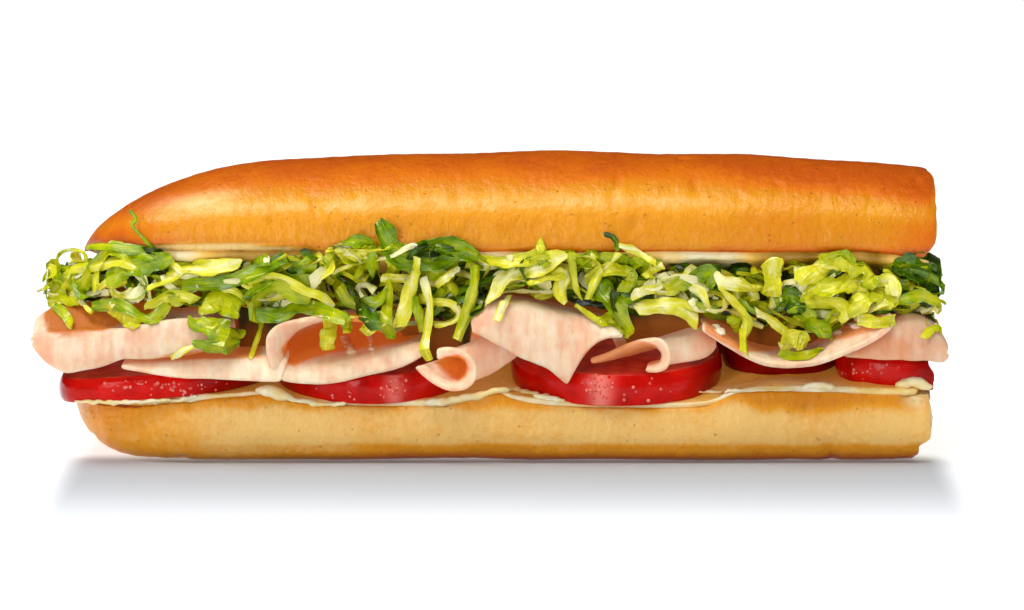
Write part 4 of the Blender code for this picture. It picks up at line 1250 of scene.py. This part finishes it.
def layPath(side, marks, count, lift, inset, surge, phase):
    # The marks' line laid on the pile or on the heap's face, whichever comes first from that side
    rays = [sides[side](*mark) for mark in splineThrough(marks, count)]
    depths = []
    for start, along in rays:
        solid = pileTree.ray_cast(start, along)
        wall = hullTree.ray_cast(start, along)
        reached = [solid[3]] if solid[0] is not None else []
        if wall[0] is not None:
            reached.append(wall[3] + inset * mm)
        depths.append(min(reached) if reached else None)
    known = [i for i, d in enumerate(depths) if d is not None]
    if not known and side == "front":
        depths = [(lettuceLook["openFace"] * mm - start.y) / along.y for start, along in rays]
        known = list(range(count))
    if not known:
        return None, None
    depths = [depths[min(known, key=lambda k: abs(k - i))] for i in range(count)]
    limit = sorted(depths)[count // 2] - lettuceLook["plunge"] * mm
    depths = [max(d, limit) for d in depths]
    near = [min(depths[max(0, i - 1) : i + 2]) for i in range(count)]
    soft = [sum(near[max(0, i - 1) : i + 2]) / len(near[max(0, i - 1) : i + 2]) for i in range(count)]
    path = []
    for i, (start, along) in enumerate(rays):
        rise = lift + surge * (0.5 + 0.5 * math.sin(phase + fullTurn * i / (count - 1)))
        path.append(np.array((start + along * (soft[i] - rise * mm)) / mm))
    return np.array(path), np.array(rays[count // 2][1])


kinds = {  # points across and along a shown and a scattered shred, how common, and how wide when scattered
    "strips": (5, 15, 12, 0.68, (1.4, 3.2)),
    "leaves": (8, 17, 12, 0.18, (3.2, 5.8)),
    "tendrils": (3, 15, 11, 0.14, (0.8, 1.4)),
}
heap = {kind: {key: [] for key in ("points", "faces", "tone", "lengthwise", "crosswise")} for kind in kinds}


def addShred(kind, side, path, outward, chance, **look):
    # One shred: a thin closed band along the path, cupped, turned, ruffled and pushed off what it would cut
    along = len(path)
    across = kinds[kind][0]
    tangent = np.gradient(path, axis=0)
    tangent /= np.linalg.norm(tangent, axis=1)[:, None] + 1e-9
    out = -outward
    sideVector = np.cross(tangent, out)
    sideVector /= np.linalg.norm(sideVector, axis=1)[:, None] + 1e-9
    normal = np.cross(sideVector, tangent)
    share = np.linspace(0, 1, along)
    roll = look["roll"] + look["twist"] * (share - 0.5)
    roll += look["sway"] * np.sin(share * chance.uniform(3, 8) + chance.uniform(0, 6))
    cosine, sine = np.cos(roll)[:, None], np.sin(roll)[:, None]
    acrossVector = sideVector * cosine + normal * sine
    faceVector = normal * cosine - sideVector * sine
    width = look["width"] * (1 - (abs(2 * share - 1) ** look["taper"]) * look["narrow"])
    ragged = look["ragged"]
    edges = []
    for _ in range(2):
        slow = np.sin(share * chance.uniform(5, 9) + chance.uniform(0, 6))
        fast = np.sin(share * chance.uniform(11, 22) + chance.uniform(0, 6))
        edges.append(1 + ragged * slow + 0.6 * ragged * fast)
    skew = chance.gauss(0, lettuceLook["skew"])
    phase, other = chance.uniform(0, 6), chance.uniform(0, 6)
    crinkleAt = chance.uniform(0, 99)
    bandLength = float(np.sum(np.linalg.norm(np.diff(path, axis=0), axis=1)))
    crinkleLong, crinkleWide = lettuceLook["crinkleSteps"]
    low, high = lettuceLook["keepWithin"]
    base = len(heap[kind]["points"])
    for layer in (1, -1):
        for i in range(along):
            for j in range(across):
                v = 2 * j / (across - 1) - 1
                half = width[i] / 2 * (edges[1][i] if v > 0 else edges[0][i])
                wave = math.sin(look["waves"] * fullTurn * share[i] + phase + other * (v > 0))
                rise = look["ruffle"] * abs(v) ** 1.5 * wave + look["cup"] * (v * v - 0.4) * half
                spot = Vector((i * crinkleLong + crinkleAt, v * half * crinkleWide, 0))
                rise += look["crinkle"] * noise.noise(spot)
                thick = lettuceLook["thick"] / 2 * (1 + look["rib"] * (1 - abs(v)) ** 2)
                thick *= 1 - lettuceLook["thinEdge"] * abs(v) ** 4
                place = path[i] + acrossVector[i] * v * half + tangent[i] * skew * v * half
                place = place + faceVector[i] * (rise + layer * thick)
                place[0] += lettuceLook["drawnIn"] * (max(0.0, low - place[0]) - max(0.0, place[0] - high))
                heap[kind]["points"].append(pushOff(side, place, layer))
                tone = look["tone"] + look["toneShift"] * (share[i] - 0.5) + look["edge"] * (abs(v) - 0.5)
                heap[kind]["tone"].append(tone)
                heap[kind]["lengthwise"].append(crinkleAt * 7 + share[i] * bandLength)
                heap[kind]["crosswise"].append(v * half)

    def at(layer, i, j):
        return base + layer * along * across + i * across + j

    faces = heap[kind]["faces"]
    for i in range(along - 1):
        for j in range(across - 1):
            faces.append((at(0, i, j), at(0, i, j + 1), at(0, i + 1, j + 1), at(0, i + 1, j)))
            faces.append((at(1, i, j), at(1, i + 1, j), at(1, i + 1, j + 1), at(1, i, j + 1)))
    border = [(i, 0) for i in range(along)] + [(along - 1, j) for j in range(1, across)]
    border += [(i, across - 1) for i in range(along - 2, -1, -1)]
    border += [(0, j) for j in range(across - 2, 0, -1)]
    for (i, j), (k, m) in zip(border, border[1:] + border[:1]):
        faces.append((at(0, i, j), at(0, k, m), at(1, k, m), at(1, i, j)))


def pushOff(side, place, layer):
    # A point that would be inside a solid comes out to just above its face
    start, along = raysFor(side, place)
    found = solidTree.ray_cast(start, along)
    if found[0] is None:
        return place
    deep = (Vector(place) * mm - start).dot(along) / mm
    limit = found[3] / mm - lettuceLook["clearance"][0 if layer == 1 else 1]
    return place if deep <= limit else place - np.array(along) * (deep - limit)


def raysFor(side, place):
    point = Vector(place) * mm
    if side == "front":
        return viewFrom, (point - viewFrom).normalized()
    along = sides[side](0, 0)[1]
    return point - along * 0.16, along


# The shreds that the photograph shows one by one: kind, width, tone from rib to deep green,
# how far off the pile, how far turned, and the line in pixels
shownShreds = (
    (
        "tendrils", 1.3, 0.66, 1.2, 0.3,
        ((130, 210), (136, 219), (132, 225), (140, 235), (150, 246), (158, 252))
    ),
    ("strips", 3.2, 0.6, 1.5, 0.4, ((87, 247), (100, 245), (115, 246), (127, 249), (145, 252), (166, 257))),
    ("tendrils", 1.2, 0.36, 1.0, 0.4, ((59, 268), (58, 256), (69, 250), (84, 253), (87, 267))),
    ("strips", 2.4, 0.42, 1.6, 0.3, ((60, 268), (72, 271), (84, 269), (92, 262))),
    ("leaves", 9.0, 0.3, 2.4, 0.3, ((38, 276), (50, 272), (62, 278), (74, 284))),
    ("leaves", 8.0, 0.24, 3.0, -0.6, ((40, 292), (52, 296), (64, 293), (78, 300))),
    ("leaves", 7.5, 0.4, 2.6, 0.9, ((52, 264), (48, 278), (55, 292), (52, 306))),
    ("leaves", 6.0, 0.34, 3.2, 0.2, ((70, 268), (74, 280), (70, 294), (80, 304))),
    ("strips", 3.4, 0.45, 2.4, 0.4, ((92, 261), (90, 271), (86, 282), (80, 292))),
    ("leaves", 6.2, 0.62, 2.4, 0.4, ((119, 269), (139, 267), (156, 263), (172, 257))),
    ("strips", 3.6, 0.22, 2.6, 0.3, ((98, 289), (112, 283), (127, 280))),
    (
        "leaves", 5.2, 0.18, 3.2, 0.5,
        ((149, 291), (168, 279), (188, 271), (209, 268), (229, 263), (241, 259))
    ),
    (
        "strips", 4.4, 0.68, 2.8, 0.2,
        ((182, 284), (209, 284), (229, 282), (249, 275), (270, 265), (286, 257))
    ),
    ("strips", 3.8, 0.3, 2.6, 0.5, ((145, 306), (164, 298), (180, 296), (198, 300))),
    (
        "strips", 3.8, 0.56, 2.8, 0.3,
        ((92, 306), (113, 304), (127, 308), (147, 320), (160, 314), (168, 304))
    ),
    ("leaves", 7.0, 0.22, 3.0, 0.2, ((110, 302), (123, 314), (141, 322))),
    ("strips", 3.2, 0.5, 1.8, 0.3, ((54, 306), (64, 314), (72, 326))),
    ("strips", 2.4, 0.1, 3.6, 0.6, ((80, 298), (86, 306), (93, 312))),
    ("leaves", 8.0, 0.52, 1.6, 0.5, ((193, 319), (212, 326), (230, 333), (243, 337))),
    ("leaves", 5.0, 0.62, 2.4, -0.3, ((192, 342), (208, 347), (226, 346), (240, 341))),
    ("strips", 2.2, 0.1, 1.4, 0.2, ((196, 345), (184, 350), (172, 359))),
    ("leaves", 7.0, 0.42, 2.8, 0.5, ((198, 312), (212, 303), (224, 300), (238, 318))),
    ("tendrils", 1.7, 0.36, 1.6, 0.4, ((262, 318), (260, 328), (256, 342), (250, 359))),
    (
        "strips", 5.0, 0.5, 3.4, 0.6,
        ((254, 322), (256, 302), (266, 290), (282, 288), (296, 296), (311, 299))
    ),
    ("strips", 4.6, 0.62, 2.6, 0.3, ((256, 313), (280, 316), (297, 308), (320, 311), (345, 320))),
    (
        "strips", 3.2, 0.2, 3.8, 0.3,
        ((247, 282), (270, 276), (290, 282), (307, 292), (321, 296), (332, 308))
    ),
    ("tendrils", 1.3, 0.25, 3.6, 0.5, ((268, 274), (276, 263), (286, 254))),
    ("strips", 5.2, 0.76, 1.8, 0.3, ((276, 268), (296, 265), (315, 269))),
    ("strips", 4.4, 0.12, 3.2, 0.5, ((324, 258), (330, 268), (320, 276), (310, 283))),
    ("strips", 5.0, 0.28, 1.4, 0.2, ((331, 312), (329, 330), (327, 350))),
    (
        "leaves", 8.5, 0.68, 2.2, 0.3,
        ((377, 222), (386, 240), (398, 252), (427, 256), (457, 248), (480, 254))
    ),
    ("strips", 4.2, 0.66, 2.2, 0.3, ((331, 247), (348, 243), (366, 242), (378, 248))),
    ("tendrils", 1.5, 0.12, 3.2, 0.2, ((332, 273), (346, 267), (361, 262))),
    ("strips", 4.6, 0.18, 4.0, 0.25, ((417, 257), (414, 274), (409, 292), (404, 310), (400, 327))),
    ("strips", 3.6, 0.5, 3.4, 0.5, ((390, 280), (389, 302), (386, 322), (392, 339))),
    ("strips", 3.4, 0.12, 3.8, 0.4, ((423, 277), (429, 300), (428, 326), (424, 346), (430, 360))),
    ("strips", 3.2, 0.55, 3.0, 0.3, ((417, 297), (419, 316), (424, 331))),
    ("strips", 3.6, 0.42, 3.6, 0.3, ((476, 265), (474, 290), (466, 314), (457, 340))),
    ("strips", 2.6, 0.1, 3.6, 0.3, ((436, 285), (447, 277), (459, 270))),
    ("strips", 2.6, 0.2, 2.4, 0.4, ((433, 302), (451, 304), (459, 314), (450, 323), (434, 325))),
    ("strips", 4.2, 0.1, 3.0, 0.4, ((362, 313), (374, 314), (384, 318), (372, 326), (363, 333))),
    ("strips", 4.0, 0.52, 3.0, 0.3, ((339, 287), (351, 302), (376, 302), (385, 289))),
    ("strips", 3.2, 0.5, 2.2, 0.3, ((344, 312), (347, 322), (347, 333))),
    (
        "leaves", 6.4, 0.12, 3.6, 0.4,
        ((486, 303), (498, 288), (514, 274), (531, 267), (551, 260), (568, 257))
    ),
    ("strips", 2.6, 0.1, 2.6, 0.2, ((508, 296), (502, 308), (496, 321))),
    ("strips", 4.6, 0.3, 2.6, 0.4, ((478, 257), (500, 263), (519, 261), (540, 253))),
    ("strips", 3.0, 0.3, 1.6, 0.3, ((539, 240), (542, 250), (546, 260))),
    ("leaves", 5.6, 0.18, 3.6, 0.7, ((527, 283), (549, 277), (564, 270), (561, 288), (566, 303))),
    ("strips", 2.3, 0.36, 3.2, 0.3, ((571, 252), (573, 270), (576, 286), (582, 300))),
    ("strips", 3.2, 0.3, 3.0, 0.3, ((571, 254), (580, 261), (588, 268))),
    ("tendrils", 1.8, 0.8, 1.4, 0.3, ((604, 234), (611, 236), (616, 242), (617, 251))),
    ("strips", 2.6, 0.22, 3.6, 0.3, ((588, 299), (598, 276), (608, 264), (619, 253))),
    ("leaves", 7.0, 0.58, 3.2, 0.3, ((594, 280), (608, 298), (620, 314), (630, 336))),
    ("strips", 3.0, 0.12, 2.2, 0.3, ((619, 246), (636, 251), (656, 262))),
    ("strips", 5.0, 0.46, 3.2, 0.3, ((614, 264), (629, 276), (622, 292))),
    ("strips", 3.6, 0.4, 2.6, 0.3, ((597, 323), (609, 320), (622, 325))),
    ("strips", 3.2, 0.12, 3.2, 0.3, ((632, 295), (643, 291), (657, 289))),
    ("strips", 5.2, 0.15, 3.0, 0.3, ((634, 308), (648, 307), (664, 306), (684, 309), (698, 321))),
    ("tendrils", 1.9, 0.32, 3.2, 0.3, ((575, 305), (590, 315), (600, 320), (612, 313))),
    ("strips", 3.4, 0.22, 3.0, 0.3, ((643, 276), (652, 269), (663, 264))),
    ("leaves", 5.2, 0.66, 2.6, 0.3, ((684, 286), (694, 277), (709, 275), (708, 288))),
    ("strips", 5.0, 0.42, 3.0, 0.3, ((650, 284), (669, 288), (687, 280))),
    ("strips", 4.6, 0.12, 3.0, 0.3, ((715, 279), (735, 284), (758, 286))),
    ("strips", 6.4, 0.22, 3.8, 0.15, ((772, 259), (771, 270), (772, 282), (775, 297))),
    ("strips", 3.8, 0.25, 3.6, 0.3, ((720, 288), (733, 303), (747, 320), (744, 336), (745, 354))),
    ("strips", 3.2, 0.2, 3.2, 0.3, ((756, 311), (769, 318), (785, 332), (795, 342))),
    ("leaves", 6.0, 0.2, 2.6, 0.4, ((780, 348), (793, 340), (809, 341))),
    ("strips", 2.8, 0.45, 2.2, 0.4, ((779, 352), (794, 356), (808, 355), (823, 348))),
    ("leaves", 6.0, 0.58, 2.8, 0.4, ((794, 307), (809, 318), (820, 328), (824, 338))),
    ("tendrils", 1.7, 0.45, 2.6, 0.3, ((839, 308), (829, 315), (826, 325), (831, 340))),
    ("strips", 4.2, 0.46, 3.0, 0.3, ((820, 261), (838, 256), (855, 258))),
    ("leaves", 6.2, 0.24, 3.4, 0.4, ((799, 283), (815, 272), (831, 266), (849, 268))),
    ("leaves", 6.6, 0.34, 3.2, 0.2, ((801, 296), (818, 288), (842, 284), (868, 280))),
    ("strips", 5.0, 0.3, 3.2, 0.3, ((805, 302), (826, 302), (842, 308), (847, 320))),
    ("leaves", 6.0, 0.4, 3.2, 0.4, ((845, 265), (864, 270), (875, 288))),
    ("strips", 4.4, 0.14, 3.2, 0.3, ((875, 282), (890, 280), (895, 297))),
    ("leaves", 7.0, 0.28, 3.4, 0.3, ((842, 315), (860, 300), (876, 296), (893, 307))),
    ("strips", 4.2, 0.24, 3.0, 0.3, ((857, 320), (878, 321), (895, 320))),
    ("leaves", 11.0, 0.9, 1.6, 0.4, ((893, 270), (912, 271), (932, 276), (930, 290), (938, 300))),
    ("strips", 4.6, 0.3, 2.4, 0.3, ((894, 304), (916, 306), (936, 312), (947, 322))),
    ("strips", 2.6, 0.36, 1.6, 0.3, ((923, 338), (933, 329), (948, 331))),
    ("strips", 4.0, 0.5, 2.4, 0.3, ((899, 300), (922, 296), (942, 303))),
    ("leaves", 6.0, 0.8, 2.2, 0.3, ((775, 302), (790, 297), (803, 313))),
    ("strips", 4.0, 0.5, 2.4, 0.3, ((732, 316), (741, 331)))
)

# How the unseen and smaller shreds are scattered on each side: how many, and the heap's top and bottom.
# At the front these are pixels, read at the places in the first row, and elsewhere millimetres.
scatter = {
    "front": {
        "count": 400, "unit": 4.17,
        "at": (40, 90, 104, 160, 200, 250, 320, 390, 430, 475, 500, 560, 620, 660, 700, 745, 820, 880, 945),
        "top": (
            268, 270, 246, 252, 268, 262, 252, 244, 246, 254, 262, 256, 254, 262, 272, 272, 264, 270, 272
        ),
        "hem": (
            294, 296, 294, 300, 304, 306, 310, 324, 328, 316, 290, 292, 306, 308, 310, 326, 330, 310, 308
        ),
        "paler": (12, 10, 8, 4, 0, 0, 3, 6, 8, 6, 8, 6, 0, 5, 10, 10, 4, 5, 14),
    },
    "back": {
        "count": 150, "unit": 1.0, "at": (-106, -97, -92, 103), "top": (43, 44, 49, 49), "hem": (32,) * 4
    },
    "left": {"count": 40, "unit": 1.0, "at": (-24, 27), "top": (44, 44), "hem": (33, 33)},
    "right": {"count": 40, "unit": 1.0, "at": (-28, 30), "top": (46, 46), "hem": (33, 33)},
}


def shredForm(kind, width, tone, chance):
    # What all shreds of a kind have in common
    leaf = kind == "leaves"
    return {
        "width": width, "tone": tone, "twist": chance.gauss(0, 1.1 if leaf else 1.5), "sway": 0.45,
        "taper": chance.uniform(2.5, 5) if leaf else chance.uniform(5, 12),
        "narrow": chance.uniform(0.3, 0.8) if leaf else chance.uniform(0.0, 0.5),
        "ragged": 0.2 if leaf else 0.12, "ruffle": (0.13 if leaf else 0.06) * width,
        "waves": chance.uniform(1.4, 3.2), "cup": chance.uniform(-0.4, 0.45),
        "crinkle": (0.19 if leaf else 0.14) * width, "rib": 1.6 if tone < 0.3 else 0.3,
        "toneShift": chance.uniform(-0.3, 0.3), "edge": chance.uniform(0.05, 0.22)
    }


def buildHeap(material):
    chance = random.Random(5)
    shownSurge, scatterSurge = lettuceLook["surge"]
    middleTone, toneSpread, paintedInsetShade = lettuceLook["scatterTone"]
    for kind, width, tone, lift, roll, marks in shownShreds:
        lift -= lettuceLook["shownSink"]
        path, outward = layPath("front", marks, kinds[kind][1], lift, 0.0, shownSurge, chance.uniform(0, 6))
        if path is None:
            print("nothing behind the shred at", marks[0])
            continue
        form = shredForm(kind, width * lettuceLook["shownSlimmer"], tone, chance)
        form["twist"] *= lettuceLook["settle"]
        addShred(kind, "front", path, outward, chance, roll=roll * chance.choice((-1, 1)), **form)
    for side, spread in scatter.items():
        for _ in range(spread["count"]):
            kind = chance.choices(list(kinds), [row[3] for row in kinds.values()])[0]
            width = chance.uniform(*kinds[kind][4])
            length = chance.uniform(*lettuceLook["length"]) * spread["unit"]
            a = chance.uniform(spread["at"][0], spread["at"][-1])
            up = chance.uniform(0, 1)
            heading = chance.gauss(0, lettuceLook["heading"])
            heading += fullTurn / 4 if chance.random() < lettuceLook["upright"] else 0
            bend = chance.gauss(0, lettuceLook["bend"])
            marks = []
            for share in (-0.5, -0.17, 0.17, 0.5):
                turn = heading + bend * share
                place = a + math.cos(turn) * length * share
                top = float(np.interp(place, spread["at"], spread["top"]))
                hem = float(np.interp(place, spread["at"], spread["hem"]))
                low, high = min(top, hem), max(top, hem)
                level = low + (high - low) * up + math.sin(turn) * length * share * 0.8
                marks.append((place, min(high, max(low, level))))
            inset = chance.uniform(0.0, lettuceLook["inset"])
            lift, phase = chance.uniform(0.0, 1.0), chance.uniform(0, 6)
            path, outward = layPath(side, marks, kinds[kind][2], lift, inset, scatterSurge, phase)
            if path is None:
                continue
            paler = np.interp(a, spread["at"], spread["paler"]) / 100 if "paler" in spread else 0.0
            # shreds deeper in the heap are painted darker, as painted shade
            tone = chance.gauss(middleTone, toneSpread) + paintedInsetShade * inset - paler
            tone = min(1.0, max(0.0, tone))
            form = shredForm(kind, width, tone, chance)
            addShred(kind, side, path, outward, chance, roll=chance.gauss(0, 0.8), **form)
    for kind, parts in heap.items():
        points, faces = parts.pop("points"), parts.pop("faces")
        piece = addMesh("lettuce" + kind.capitalize(), points, faces, parts)
        finishPiece(piece, material, "lettuce", "lettuce")
        bpy.ops.object.shade_smooth_by_angle(angle=math.radians(26))  # crisp folds and cut edges
        print(piece.name, len(faces) * 2, "triangles")


buildHeap(lettuceFinish)

# Floor and light

studioLook = {
    "floor": "#b8bcc1",  # a little blue, to make up for the orange that the sandwich throws on it
    "floorSize": 12.0,  # metres
    # painted light: the floor's own emission comes up with distance from the sandwich, leaving a strip
    # before it in the lamps' shadow
    "glow": 0.72,  # the photograph's floor is lit until it is white, apart from a strip before the sandwich
    "glowSpan": (0.009, 0.128),  # metres from the sandwich over which the glow comes up
    "footprint": (0.1, 0.037),  # half its length and width in metres
    "glowHaste": (12.0, 7.0),  # how much faster it comes up beside the ends, and behind
    "sky": 0.46,
    "aim": (0, 0, 0.05),  # where the softboxes point
    "key": (0.42, 20.0, (24.0, 0.0, -30.0)),  # strength, softness in degrees, how the sun is turned
    "boxes": (  # watts, size across and along, and place of each softbox
        (7.1, (1.2, 0.22), (-0.2, -0.36, 1.25)),
        (4.4, (0.3, 0.6), (-0.56, -1.2, 0.36)),
        (3.6, (0.4, 0.3), (-0.6, 0.1, 1.1)),
    ),
}


def floorMaterial():
    # Matte studio paper with a painted glow of its own that turns it white away from the sandwich
    material, tree, shader = startMaterial("matteStudioFloor")
    where = addNode(tree, "TexCoord").outputs["Object"]
    halfLength, halfWidth = studioLook["footprint"]
    besideHaste, behindHaste = studioLook["glowHaste"]
    parts = addNode(tree, "SeparateXYZ", None, {"Vector": where})
    beside = addNode(tree, "Math", None, {0: parts.outputs["X"]}, operation="ABSOLUTE")
    besideFar = addNode(
        tree, "Math", {1: besideHaste, 2: -halfLength * besideHaste}, {0: beside}, operation="MULTIPLY_ADD"
    )
    before = addNode(
        tree, "Math", {1: -1.0, 2: -halfWidth}, {0: parts.outputs["Y"]}, operation="MULTIPLY_ADD"
    )
    behind = addNode(
        tree, "Math", {1: behindHaste, 2: halfWidth * behindHaste}, {0: parts.outputs["Y"]},
        operation="MULTIPLY_ADD"
    )
    depth = addNode(tree, "Math", None, {0: before, 1: behind}, operation="MAXIMUM")
    beyond = addNode(tree, "Math", {1: 0.0}, {0: besideFar}, operation="MAXIMUM")
    both = addNode(tree, "CombineXYZ", None, {"X": beyond, "Y": depth})
    away = addNode(tree, "VectorMath", None, {0: both}, operation="LENGTH")
    near, far = studioLook["glowSpan"]
    glow = addNode(
        tree, "MapRange", {"From Min": near, "From Max": far, "To Max": studioLook["glow"]},
        {"Value": away.outputs["Value"]}, interpolation_type="SMOOTHSTEP"
    )
    setNode(
        tree, shader,
        {
            "Emission Color": (1, 1, 1, 1), "Base Color": linear(studioLook["floor"]), "Roughness": 0.9,
            "Specular IOR Level": 0.1
        },
        {"Emission Strength": glow}
    )
    return material


def buildStudio():
    bpy.ops.mesh.primitive_plane_add(size=studioLook["floorSize"], location=(0, 0, 0))
    floor = bpy.context.object
    floor.name = "floor"
    material = floorMaterial()
    floor.data.materials.append(material)
    strength, softness, turn = studioLook["key"]
    bpy.ops.object.light_add(type="SUN", rotation=[math.radians(t) for t in turn])
    sun = bpy.context.object
    sun.data.energy = strength
    sun.data.angle = math.radians(softness)
    for watts, size, place in studioLook["boxes"]:
        bpy.ops.object.light_add(type="AREA", location=place)
        box = bpy.context.object
        box.data.shape = "RECTANGLE"
        box.data.size, box.data.size_y = size
        box.data.energy = watts
        aim = Vector(studioLook["aim"]) - Vector(place)
        box.rotation_euler = aim.to_track_quat("-Z", "Y").to_euler()
    world = bpy.data.worlds.new("studio")
    world.use_nodes = True
    background = world.node_tree.nodes["Background"]
    background.inputs["Color"].default_value = (1, 1, 1, 1)
    background.inputs["Strength"].default_value = studioLook["sky"]
    bpy.context.scene.world = world
    world.cycles_visibility.glossy = False  # only the softboxes are mirrored, as in the photograph
    bpy.context.scene.view_settings.view_transform = "Standard"


buildStudio()
print("studio built")
